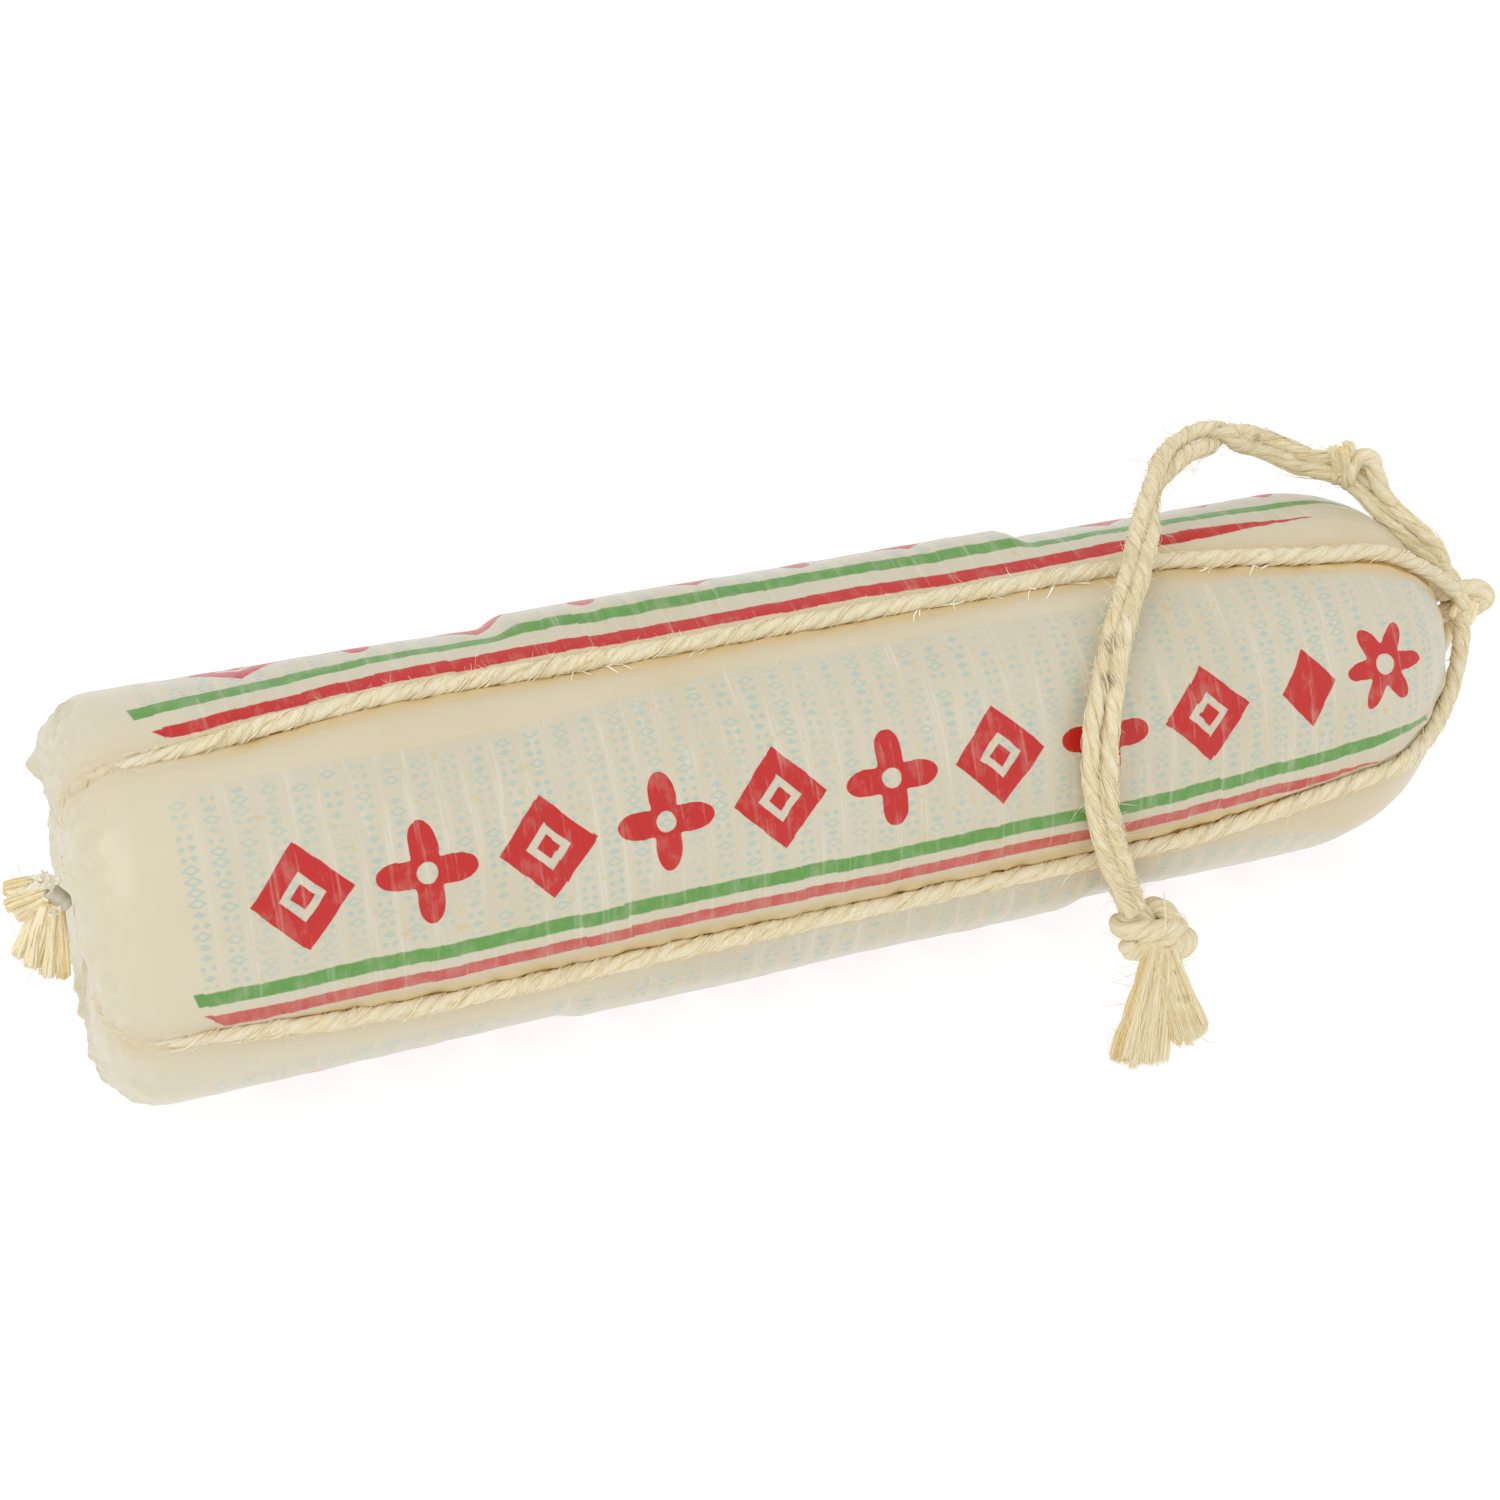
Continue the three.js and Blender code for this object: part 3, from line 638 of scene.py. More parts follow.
def laid_rope(shell, line, radius, lay, seed, reference, strands=3, around=13, phase=0.0):
    """Strands wound on a line: strand k's centre goes round it at 2 pi (k/n + winding).

    A strand's own section is an oval with fibre ridges that turn the other way along it."""
    rng = np.random.default_rng(seed)
    rows = len(line)
    s = np.linspace(0, line_length(line), rows)
    radius = np.broadcast_to(radius, rows)
    wound = winding(line, lay)
    side, up = across_line(line, reference)
    theta = TAU * np.arange(around) / around
    for k in range(strands):
        wobble = rng.uniform(0, 100)
        thick = radius * STRAND_SHARE[strands]
        thick = thick * (1 + 0.09 * ripple(seed + 7 * k, s / 23 + wobble))
        orbit = (radius - thick) * (1 + 0.07 * ripple(seed + 7 * k + 1, s / 31))
        turn = TAU * (k / strands + wound) + phase + 0.5 * ripple(seed + 3, s / 34)
        centre = line + orbit[:, None] * (np.cos(turn)[:, None] * side + np.sin(turn)[:, None] * up)
        along = unit(np.gradient(centre, axis=0))
        out = unit(centre - line)
        out = unit(out - (out * along).sum(1, keepdims=True) * along)
        across = np.cross(along, out)
        own = theta[None, :] - (TAU * wound / TURN_BACK)[:, None]
        ridge = 0.045 * np.sin(6 * own + wobble)
        ridge = ridge + 0.03 * np.sin(11 * own + 2 * wobble + 0.3 * s[:, None])
        ridge = ridge + 0.05 * ripple(seed + 7 * k + 2, own / 2.2, s[:, None] / 9)
        r = thick[:, None] * (1 + ridge)
        skin = centre[:, None] + (STRAND_OVAL[0] * r * np.cos(theta))[..., None] * out[:, None]
        skin = skin + (STRAND_OVAL[1] * r * np.sin(theta))[..., None] * across[:, None]
        fibre = np.stack([r * np.cos(own), r * np.sin(own), 0 * own + s[:, None]], -1)
        # outward is how far each point of a strand faces away from the rope's line; the sisal finish
        # paints golden shade where it faces inwards
        outward = np.broadcast_to(np.cos(theta), skin.shape[:2])
        shell.grid(skin, fibre=fibre + np.array([0, 0, 97.0 * k + 211.0 * seed]), outward=outward)


def buried(x, r):
    """How far the wax has run over the ropes: 0 along the cheese, 1 round its blunt corner, and
    0 again where they come out of it by the clip."""
    along = smooth((BURIED_FROM - x) / BURIED_LENGTH)
    return along * smooth((r - BURIED_OUTSIDE) / BURIED_EDGE)


FIBRE_FLOOR = 0.3                # loose fibres' middle lines stay this far off the ground


def lying_fibres(line, radius, lay, count, length, seed, reference):
    """Fibres that lie on a rope along its strands: each keeps its place on the helix of the lay,
    drifts a little from it, and lifts off at its far end."""
    rng = np.random.default_rng(seed)
    side, up = across_line(line, reference)
    step = line_length(line) / (len(line) - 1)
    radius = np.broadcast_to(radius, len(line))
    t = np.linspace(0, 1, 9)[None, :]
    reach = length * rng.uniform(0.4, 1.0, (count, 1))
    start = rng.uniform(0, 1, (count, 1)) * (line_length(line) - reach)
    s = start + reach * t
    at = np.clip(np.round(s / step).astype(int), 0, len(line) - 1)
    turn = TAU * winding(line, lay)[at] + rng.uniform(0, TAU, (count, 1))
    turn = turn + rng.normal(0, 0.5, (count, 1)) * t
    away = radius[at] * rng.uniform(0.94, 1.04, (count, 1))
    away = away + rng.exponential(0.5, (count, 1)) * t**4
    around = np.cos(turn)[..., None] * side[at] + np.sin(turn)[..., None] * up[at]
    paths = line[at] + away[..., None] * around
    paths[..., 2] = np.maximum(paths[..., 2], FIBRE_FLOOR)
    return paths


BURIED_DEPTH = 1.7               # how much deeper a rope lies where the wax has run over it
CLIP_LIFT, CLIP_LIFT_WITHIN, CLIP_LIFT_EDGE = 1.6, 21, 8
END_KNOT_REACH, CLIP_REACH = 5.0, 3.0


def binding_line(name):
    """A run's centreline: over the dome, along the barrel and down the blunt face, at its sink
    below the skin, and lifted off the skin towards the end knot and the clip.  Both of these
    hide its ends, so it stops short of them."""
    places = []
    for part, along in (
        ("domed", np.arange(0.03, 0.99, 0.03)),
        ("barrel", np.arange(DOMED_BARREL_X, BLUNT_BARREL_X, -6.0)),
        ("blunt", np.arange(0.98, 0.05, -0.04)),
    ):
        place = skin_place(part, along, run_angle(name, part_x(part, along)))
        x, _, _, nx, _, r = place
        lift = LIFT * (1 - np.minimum(1, along / LIFT_WITHIN)) ** 1.5 if part == "domed" else 0.0
        lift = lift - BURIED_DEPTH * buried(x, r)
        lift = lift + CLIP_LIFT * smooth((CLIP_LIFT_WITHIN - r) / CLIP_LIFT_EDGE) * (part == "blunt")
        wander = 0.25 * ripple(61, x / 60) * (part == "barrel")
        places.append(set_off(place, lift + wander - rope_sink(name, nx, r)))
    line = np.vstack(places)
    clip_mouth = np.array(CLIP_CENTRE) + [CLIP_LENGTH / 2, 0, 2]
    keep = np.linalg.norm(line - END_KNOT, axis=1) > END_KNOT_REACH
    keep &= np.linalg.norm(line - clip_mouth, axis=1) > CLIP_REACH
    return spline(line[keep], 0.8)


BINDING_LAY = -21.0
HAIR_RADIUS = 2.7                # where the binding's loose fibres start, just inside its skin
THIN_BURIED, THIN_AT_CLIP = 0.36, 0.2
THIN_FROM, THIN_LENGTH = -205, 10


def binding_rope(name, seed):
    """Laid rope that thins where it is drawn tight round the blunt corner to the clip."""
    line = binding_line(name)
    off_axis = np.hypot(line[:, 1], line[:, 2] - AXIS_HEIGHT)
    thinner = 1 - THIN_BURIED * buried(line[:, 0], off_axis)
    thinner = thinner - THIN_AT_CLIP * smooth((THIN_FROM - line[:, 0]) / THIN_LENGTH)
    angle = math.radians(RUNS[name][1])
    square = (0.0, math.sin(angle), math.cos(angle))
    shell = Shell()
    laid_rope(shell, line, ROPE_RADIUS * thinner, BINDING_LAY, seed, square, phase=seed)
    return shell


def cord_line():
    """The loop's own line from the end knot through the hitch to the tail knot."""
    return spline([*SHOULDER_ROUTE, HITCH, *LOOP_ROUTE], 0.75)


# The loop by the distance s from the end knot: how tightly its ropes are laid, where they cross
# and over what length, where they lean to a side or part (place, length and amount), and how
# close they are drawn at both knots.
CORD_LAY = (
    (0, -70), (70, -45), (92, -20), (112, -13), (148, -14), (175, -21), (200, -27), (250, -34),
    (291, -44),
)
CROSSING = (84.0, 24.0)
LEANS = ((142, 15, -0.85), (190, 28, 0.45))
HALF_GAP, PARTINGS = 2.0, ((111, 11, 1.0), (226, 18, 0.7))
SHOULDER_GAP = (60, 20, 0.25)
DRAWN_AT_END_KNOT, DRAWN_AT_TAIL_KNOT = (12, 12, 1.3), (26, 20, 0.35)
SHOULDER_SAG, SAG_FROM, SAG_TO = 1.6, (6, 12), (38, 14)
SINGLE_RADIUS = 2.75


def loop_ropes(line):
    """The middle lines of the loop's two ropes, and their lay at each point.  The two lie side by
    side as the viewer sees them, apart from one crossing beyond the arch."""
    s = np.linspace(0, line_length(line), len(line))
    side, up = across_line(line, VIEW_BACK)
    turn = math.pi * smooth((s - CROSSING[0]) / CROSSING[1]) + 0.35 * ripple(71, s / 90)
    for at, length, amount in LEANS:
        turn = turn + amount * bell(s - at, length)
    reach = HALF_GAP
    for at, length, amount in PARTINGS:
        reach = reach + amount * bell(s - at, length)
    before, over, amount = SHOULDER_GAP
    reach = reach + amount * smooth((before - s) / over)
    before, over, amount = DRAWN_AT_END_KNOT
    reach = reach - amount * smooth((before - s) / over)
    before, over, amount = DRAWN_AT_TAIL_KNOT
    reach = reach + 0.15 * ripple(70, s / 35) - amount * smooth((s - s[-1] + before) / over)
    out = np.cos(turn)[:, None] * side + np.sin(turn)[:, None] * up
    sag = SHOULDER_SAG * smooth((s - SAG_FROM[0]) / SAG_FROM[1])
    sag = sag * (1 - smooth((s - SAG_TO[0]) / SAG_TO[1]))
    middle = line - sag[:, None] * (VIEW_RIGHT + VIEW_UP) / math.sqrt(2)
    lay = np.interp(s, *zip(*CORD_LAY))
    return [middle + sign * reach[:, None] * out for sign in (1, -1)], lay


def loop_cord(line):
    """Two laid ropes side by side, a little thinner where they go into the tail knot."""
    shell = Shell()
    tight = smooth((np.linspace(-1, 0, len(line)) * line_length(line) + 22) / 20)
    ropes, lay = loop_ropes(line)
    for k, rope in enumerate(ropes):
        radius = SINGLE_RADIUS * (1 - 0.08 * tight)
        laid_rope(shell, rope, radius, lay, 80 + k, VIEW_BACK, around=14, phase=k)
    return shell


def ring_line(centre, axis, radius, squash=1.0, start=0.0, turns=1.0, pitch=0.0):
    """Points of a ring about an axis, that may run on as a coil."""
    axis = unit(np.array(axis, float))
    first = unit(np.cross(axis, (0.1, 0.2, 1.0)))
    second = np.cross(axis, first)
    t = TAU * (start + np.linspace(0, turns, int(40 * turns)))
    spoke = np.cos(t)[:, None] * first + squash * np.sin(t)[:, None] * second
    return np.array(centre) + radius * spoke + (pitch * t / TAU)[:, None] * axis


# The camera's right, up and towards-it directions, in which the knots' turns are given.
VIEW_AZIMUTH, VIEW_ELEVATION = math.radians(-20.57), math.radians(31.09)
VIEW_RIGHT = np.array([math.cos(VIEW_AZIMUTH), math.sin(VIEW_AZIMUTH), 0.0])
VIEW_BACK = np.array([
    math.sin(VIEW_AZIMUTH) * math.cos(VIEW_ELEVATION),
    -math.cos(VIEW_AZIMUTH) * math.cos(VIEW_ELEVATION),
    math.sin(VIEW_ELEVATION),
])
VIEW_UP = np.cross(VIEW_BACK, VIEW_RIGHT)


def from_view(centre, turns):
    """Points given as (right, up, towards the viewer) of a centre."""
    right, up, back = (column[:, None] for column in np.asarray(turns, float).T)
    return np.array(centre) + right * VIEW_RIGHT + up * VIEW_UP + back * VIEW_BACK


KNOT_STEP = 0.6                  # the distance between a knot's cross-sections
# The tail knot's coil: its height at each angle round it.
COIL_HEIGHTS = (
    (-60, 2.4), (0, 0.8), (90, -0.4), (180, 1.9), (270, -0.6), (360, -3.0), (450, -6.2),
    (540, -5.2), (590, -4.0),
)


def tail_knot():
    """The doubled rope wound twice round itself, and its first turn arched over the top."""
    shell = Shell()
    degrees = np.arange(-60, 591, 20)
    height = np.interp(degrees, *zip(*COIL_HEIGHTS))
    a = np.radians(degrees)
    coil = np.stack([8.9 * np.cos(a) - 1.0 + 2.9 * a / TAU, height, 5.2 * np.sin(a) - 0.6], axis=1)
    arch = [
        (-5.0, 6.0, -2.0), (-1.4, 6.2, -1.6), (1.8, 7.2, -0.6), (4.8, 5.8, 0.6), (7.0, 2.6, 0.6),
        (8.2, -1.5, -1.0),
    ]
    neck = [
        (-8.6, 13.5, -0.4), (-6.0, 8.0, 0.4), (-2.2, 3.0, 0.6), (1.4, -3.0, -0.4), (3.0, -8.0, 0.0),
    ]
    parts = [(coil, 4.1, -24.0), (arch, 3.3, -22.0), (neck, 4.3, -40.0)]
    for k, (path, radius, lay) in enumerate(parts):
        line = spline(from_view(TAIL_KNOT, path), KNOT_STEP)
        line[:, 2] = np.maximum(line[:, 2], radius + 0.1)
        laid_rope(shell, line, radius, lay, 90 + k, VIEW_BACK + 0.37, strands=5)
    return shell


def end_knot():
    """The top run folded out into a bight and back, bound by a turn and a third of rope, with
    the loop's root coming into it and a short core inside the fold."""
    shell = Shell()
    fold = [
        (-13.0, 3.4, -1.0), (-6.0, 2.8, 2.0), (0.4, 3.8, 3.2), (5.2, 3.9, 2.4), (8.3, 1.2, 0.6),
        (5.6, -1.5, 0.0), (0.4, -2.2, 0.4), (-5.0, -3.8, -1.6), (-10.0, -5.0, -4.0),
    ]
    fold = spline(from_view(END_KNOT, fold), KNOT_STEP)
    laid_rope(shell, fold, 3.2, -17.0, 100, VIEW_BACK + 0.21, around=14)
    axis = (0.9, -0.1, 0.35)
    bind = ring_line((217.5, -13.5, 77.5), axis, 4.7, squash=1.1, start=0.1, turns=1.3, pitch=3.0)
    laid_rope(shell, evenly(bind, KNOT_STEP), 2.7, -16.0, 101, axis, around=12)
    root = [SHOULDER_ROUTE[1], SHOULDER_ROUTE[0], (220.4, -9.0, 83.0), (220.0, -12.5, 79.0)]
    laid_rope(shell, spline(root, KNOT_STEP), 3.4, -26.0, 103, (0.3, -0.9, 0.1), strands=5)
    core = from_view(END_KNOT, [(-3.0, 0.2, 0.6), (1.0, 0.8, 1.4), (4.6, 1.2, 1.2), (6.8, 1.2, 0.6)])
    laid_rope(shell, spline(core, KNOT_STEP), 2.4, -15.0, 104, VIEW_BACK + 0.21, around=12)
    return shell


def loop_hitch():
    """A turn round the doubled rope, and a stretch that stands up and folds over beside it."""
    shell = Shell()
    axis = (-0.76, 0.55, 0.35)
    centre = np.array(HITCH) - [-1.6, 1.4, 0.5]
    turns = ring_line(centre, axis, 3.9, start=0.2, turns=1.2, pitch=3.4)
    laid_rope(shell, evenly(turns, KNOT_STEP), 2.5, -17.0, 110, axis, around=12)
    fold = [
        (191.4, 15.0, 114.5), (193.0, 13.0, 119.4), (195.2, 11.4, 122.2), (197.5, 10.2, 121.2),
        (198.6, 8.8, 117.0), (200.2, 7.2, 111.8), (202.8, 4.6, 107.0),
    ]
    laid_rope(shell, spline(fold, KNOT_STEP), 3.2, -26.0, 112, (0.4, 0.9, 0.1))
    return shell


# ---------------------------------------------------------------- fibres

def fibres(shell, paths, widths, thickness, seed, sides=5, taper=0.75, tone=1.0, facing=None):
    """Thin bands along count x rows x 3 paths, with an oval section and a pointed far end; they
    lie flat to the direction they face, where one is given."""
    count, rows = paths.shape[:2]
    rng = np.random.default_rng(seed)
    along = unit(np.gradient(paths, axis=1))
    lean = unit(rng.normal(size=(count, 1, 3)) + 0.01)
    if facing is not None:
        lean = unit(facing + 0.4 * lean)
    side = unit(np.cross(along, lean))
    up = np.cross(along, side)
    theta = TAU * np.arange(sides) / sides
    narrow = (1 - taper * np.linspace(0, 1, rows) ** 4)[None, :, None]
    w = widths[:, None, None] * narrow / 2
    h = thickness[:, None, None] * narrow / 2
    skin = paths[:, :, None] + (w * np.cos(theta))[..., None] * side[:, :, None]
    skin = skin + (h * np.sin(theta))[..., None] * up[:, :, None]
    s = np.linspace(0, 1, rows)[None, :, None] * 30 + rng.uniform(0, 900, (count, 1, 1))
    fibre = np.stack(np.broadcast_arrays(w * np.cos(theta), h * np.sin(theta), s), -1)
    # tone goes to the outward value, from which the sisal finish paints its golden shade
    outward = np.broadcast_to(np.reshape(tone, (-1, 1, 1)), skin.shape[:3]).copy()
    shell.many(skin, fibre=fibre, outward=outward)


def frayed_bundle(
    shell, where, width, thick, count, seed, clumps, slant, broad, reach, gold, turned, overlap, wild
):
    """Fibres that leave a rope's end in a round bunch and spread to a flat one, in clumps that
    each have a place across the bunch, a heading and a length of their own.

    A fibre's line is start + t along + u width(t) + v thickness(t) with a curl.  Slant makes one
    side the longer, and gold is the share of clumps that show their golden inside.  Broad scales
    the fibres' widths, reach is the clumps' range of lengths, turned and wild are how far clumps
    and fibres stray to a side, and overlap is how far a clump spreads into its neighbours."""
    rng = np.random.default_rng(seed)
    start, end, across = where
    first, last = width
    start, end = np.array(start, float), np.array(end, float)
    along = end - start
    across = np.array(across, float)
    across = unit(across - along * (across @ along) / (along @ along))
    up = unit(np.cross(across, along))
    middle = np.linspace(-1, 1, clumps) * (1 - 0.6 / clumps) + rng.normal(0, 0.25 / clumps, clumps)
    height = rng.uniform(-0.55, 0.55, clumps)
    long = rng.uniform(*reach, clumps) * (1 - slant * middle)
    heading = rng.normal(0, turned * last, clumps)
    lifted = rng.normal(0, 0.16 * thick[1], clumps)
    golden = np.where(rng.uniform(0, 1, clumps) < gold, 0.0, 1.0)
    own = rng.integers(0, clumps, count)
    away, turn = np.sqrt(rng.uniform(0, 1, count)), rng.uniform(0, TAU, count)
    u = middle[own] + overlap / clumps * away * np.cos(turn)
    v = height[own] + 0.45 * away * np.sin(turn)
    t = np.linspace(0, 1, 12)[None, :]
    size = (long[own] * rng.uniform(0.94, 1.0, count) * (1 - 0.05 * u**2))[:, None]
    half = mix(first, last, (t * size) ** 0.8) / 2
    depth = mix(thick[0], thick[1], t * size) / 2
    bend = heading[own][:, None] * t**2
    bend = bend + rng.normal(0, wild * last, (count, 1)) * (t**2 + np.sin(9 * t))
    lift = lifted[own][:, None] * t**2 + rng.normal(0, 0.05 * thick[1], (count, 1)) * t**2
    path = start + (t * size)[..., None] * along
    path = path + (u[:, None] * half + bend)[..., None] * across
    path = path + (v[:, None] * depth + lift)[..., None] * up
    path[..., 2] = np.maximum(path[..., 2], 0.5)
    widths = broad * rng.choice([0.4, 0.7, 1.1, 1.5], count, p=[0.3, 0.35, 0.25, 0.1])
    # A fibre's tone: clumps picked at random take the golden colour, and painted shade makes fibres
    # in the middle of the bunch's thickness more golden than those on its faces.
    tone = golden[own] + 0.5 * np.abs(v) - 0.2 + rng.normal(0, 0.2, count)
    tone = np.clip(tone, -0.4, 1.0)
    thin = widths * rng.uniform(0.25, 0.5, count)
    fibres(shell, path, widths, thin, seed + 1, taper=0.45, tone=tone, facing=up)


WISP_WIDTH, WISP_THICKNESS = 0.24, 0.16


def loose_end(where, width, thick, count, seed, clumps, wisps, **ways):
    """A rope's cut end: a frayed bundle, and thin wisps that stand off it."""
    shell = Shell()
    frayed_bundle(shell, where, width, thick, count, seed, clumps, **ways)
    number, size = wisps
    start, end = (np.array(at, float) for at in where[:2])
    spine = mix(start, end, np.linspace(0, 0.95, 40)[:, None])
    paths = stray_fibres(spine, width[1] / 3, number, size, seed + 5)
    widths, thin = np.full(number, WISP_WIDTH), np.full(number, WISP_THICKNESS)
    fibres(shell, paths, widths, thin, seed + 6, sides=3)
    return shell


def tassel():
    """The doubled rope's end, combed out on the ground in two bunches."""
    shell = Shell()
    combed = dict(broad=0.46, gold=0.2, turned=0.03, overlap=1.7, wild=0.02)
    for *sizes, slant, reach in (
        (TASSEL_NEAR_BUNCH, (6.0, 14.0), (7.0, 4.0), 860, 120, 8, (70, 9.0), 0.02, (0.97, 1.02)),
        (TASSEL_FAR_BUNCH, (6.0, 10.0), (7.0, 5.0), 640, 124, 6, (60, 9.0), 0.03, (0.96, 1.02)),
    ):
        shell.take_in(loose_end(*sizes, slant=slant, reach=reach, **combed))
    return shell


def stray_fibres(line, radius, count, length, seed, keep_up=False):
    """Fibres that stand off a rope: each leaves its skin at a random place, leans along it and
    curls: p(t) = p0 + L t d + L t^2 curl."""
    rng = np.random.default_rng(seed)
    along = unit(np.gradient(line, axis=0))
    at = rng.integers(2, len(line) - 2, count)
    out = unit(rng.normal(size=(count, 3)))
    out = unit(out - (out * along[at]).sum(1, keepdims=True) * along[at])
    if keep_up:
        away = unit(line[at] * [0, 1, 1] - [0, 0, AXIS_HEIGHT])
        out = unit(out + 1.1 * away)
    start = line[at] + out * radius * 0.9
    lean = rng.uniform(-1, 1, (count, 1)) * 1.6
    heading = unit(out + lean * along[at])
    curl = unit(rng.normal(size=(count, 3))) * rng.uniform(0, 0.7, (count, 1))
    size = length * rng.uniform(0.3, 1.0, (count, 1, 1)) * rng.choice([1, 1, 1, 1.9], (count, 1, 1))
    t = np.linspace(0, 1, 7)[None, :, None]
    paths = start[:, None] + size * t * heading[:, None] + size * t**2 * curl[:, None]
    paths[..., 2] = np.maximum(paths[..., 2], FIBRE_FLOOR)
    return paths


WIDEST_LYING, WIDEST_STANDING = 0.58, 0.22


def fuzz(rows, seed):
    """Several ropes' loose fibres in one piece; a row is a line, radius, lay, the counts and
    lengths of the fibres that lie on it and of those that stand off, and whether these keep up."""
    shell = Shell()
    for k, (line, radius, lay, lying, standing, keep_up) in enumerate(rows):
        for j, (paths, widest) in enumerate((
            (lying_fibres(line, radius, lay, *lying, seed + k, VIEW_BACK), WIDEST_LYING),
            (stray_fibres(line, radius, *standing, seed + 20 + k, keep_up), WIDEST_STANDING),
        )):
            rng = np.random.default_rng(seed + 50 + 2 * k + j)
            widths = rng.uniform(0.10, widest, len(paths))
            fibres(shell, paths, widths, 0.6 * widths, seed + 90 + 2 * k + j, sides=3)
    return shell


# ---------------------------------------------------------------- the clip

# The clip's outline from inside its mouth, over the rim and out to its far end: how far along
# it as a share of its length, and how far in from its full radius.
CLIP_PROFILE = (
    (0.30, 1.5), (0.12, 1.2), (0.04, 1.0), (0.0, 0.8), (-0.012, 0.4), (0.0, 0.12), (0.03, 0.0),
    (0.1, 0.0), (0.26, 0.02), (0.34, 0.14), (0.42, 0.02), (0.5, 0.0), (0.62, 0.0), (0.7, 0.12),
    (0.78, 0.0), (0.94, 0.0), (0.99, 0.2), (1.0, 0.9),
)


def clip():
    """A crimped sleeve that droops inwards: a round section carried along its axis with two
    slight crimps, turned in at its mouth and run back inside, so that its end shows a hollow."""
    t, inset = np.array(CLIP_PROFILE).T
    middle = np.array(CLIP_CENTRE) + ((t - 0.5) * CLIP_LENGTH)[:, None] * unit(np.array(CLIP_AXIS))
    straight = np.array(CLIP_CENTRE) + np.linspace(-1, 1, len(t))[:, None] * CLIP_AXIS
    side, up = across_line(straight, (0.0, 0.0, 1.0))
    a = TAU * np.arange(48) / 48
    spoke = np.cos(a)[:, None] * side[:, None] + np.sin(a)[:, None] * up[:, None]
    shell = Shell()
    shell.grid(middle[:, None] + (CLIP_WIDTH / 2 - inset)[:, None, None] * spoke)
    return shell


TONGUE_BASES = [
    (-222.0, 1.0, 67.6), (-223.5, -2.0, 66.6), (-221.0, -4.0, 66.4), (-220.0, 2.4, 66.0),
    (-218.6, -3.0, 67.6), (-223.0, -4.0, 62.4), (-220.0, -5.0, 59.6),
]
RIBBON_COUNT, RIBBON_PLACES, RIBBON_SPREAD = 64, [-58.0, -46.0, 34.0, 62.0, 140.0], 12
TONGUE_THICKNESS, RIBBON_THICKNESS = 0.08, 0.1


def film_tongue(shell, rng, base, u, t):
    """A crumpled scrap of film that stands out from its base, broader towards its tip."""
    size = rng.uniform(4.0, 6.5)
    heading = unit(np.array([-0.5, rng.uniform(-0.6, 0.6), rng.uniform(0.2, 1.0)]))
    across = unit(np.cross(heading, rng.normal(size=3)))
    up = np.cross(heading, across)
    fold = 0.5 * np.sin(4 * u + 3 * t + rng.uniform(0, 6)) + 0.8 * t**2
    width = (0.9 + 1.5 * t) * (1 - 0.25 * np.sin(7 * t + rng.uniform(0, 6)))
    sheet = np.array(base) + (size * t + 0 * u)[..., None] * heading
    sheet = sheet + (width * u)[..., None] * across + fold[..., None] * up
    shell.grid(np.concatenate([sheet, sheet[:, ::-1] + TONGUE_THICKNESS * up], axis=1))


def film_ribbon(shell, rng, x, u, t):
    """A narrow ribbon of film that lies on the skin, beside the top rope at x."""
    side = rng.choice([-1, -1, -1, 1])
    size, swing = rng.uniform(2.5, 8.5), rng.choice([-1, 1]) * rng.uniform(0.7, 1.5)
    heading = swing + rng.uniform(-0.6, 0.6) * t
    width = rng.uniform(0.10, 0.34) * (1 - 0.6 * t)
    place_x = x + size * t * np.sin(heading) + width * u * np.cos(heading)
    angle = run_angle("binding_rope_top", place_x)
    angle = angle + side * (1.6 + size * t * np.cos(heading)) + width * u * np.sin(heading)
    place = skin_place("barrel", place_x, angle)
    lie = 0.2 + rng.uniform(0.2, 1.4) * t**2 - groove_depth(place)[0]
    top = set_off(place, lie + RIBBON_THICKNESS)
    shell.grid(np.concatenate([set_off(place, lie), top[:, ::-1]], axis=1)[:, ::-1])


def film_scraps():
    """Scraps of film: crumpled tongues that stand out round the clip, and ribbons that hang out
    from under the top rope and lie on the skin."""
    rng = np.random.default_rng(130)
    shell = Shell()
    u = np.linspace(-1, 1, 12)[None, :]
    t = np.linspace(0, 1, 14)[:, None]
    for base in TONGUE_BASES:
        film_tongue(shell, rng, base, u, t)
    places = rng.choice(RIBBON_PLACES, RIBBON_COUNT) + rng.normal(0, RIBBON_SPREAD, RIBBON_COUNT)
    for x in places:
        film_ribbon(shell, rng, x, u, t)
    return shell


# ---------------------------------------------------------------- finishes

# The film's four printed bands, each between two ropes: the front rope's angle, from which turns
# count, how far round from there a band's panel starts, where the first red stripe lies, and how
# far each band's red stripe lies beyond the last one's.
COUNT_FROM = RUNS["binding_rope_front"][1] - 360
PANEL_STARTS = (95.0, 180.0, 275.0)
RED_STRIPE_AT = 11.5
NEXT_STRIPE = (94.7, 88.3, 87.0)
RED_LEFT, RED_RIGHT = -188.6, 169.0
GREEN_ABOVE_RED, GREEN_LEFT, GREEN_RIGHT = 8.0, -192.6, 190.0
BAND_HEIGHT = 64.7
FILM_LEFT, FILM_RIGHT = -192.0, 199.0
FRIEZE_MIDDLE, FRIEZE_HALF = 31.3, 14.6
FRIEZE_LEFT, FRIEZE_PITCH, FRIEZE_COUNT = -178.0, 33.7, 9
DIAMOND_AT, ROSETTE_AT = 143.0, 170.0
MARK_COLUMN, MARK_ROW = 8.0, 2.9
MARKS_FROM = 11.0                # how far above the red stripe the small marks begin
PAIR_OFF = 1.4                   # how far a mark's two halves stand off its middle
FOLD_GAP = 10.5

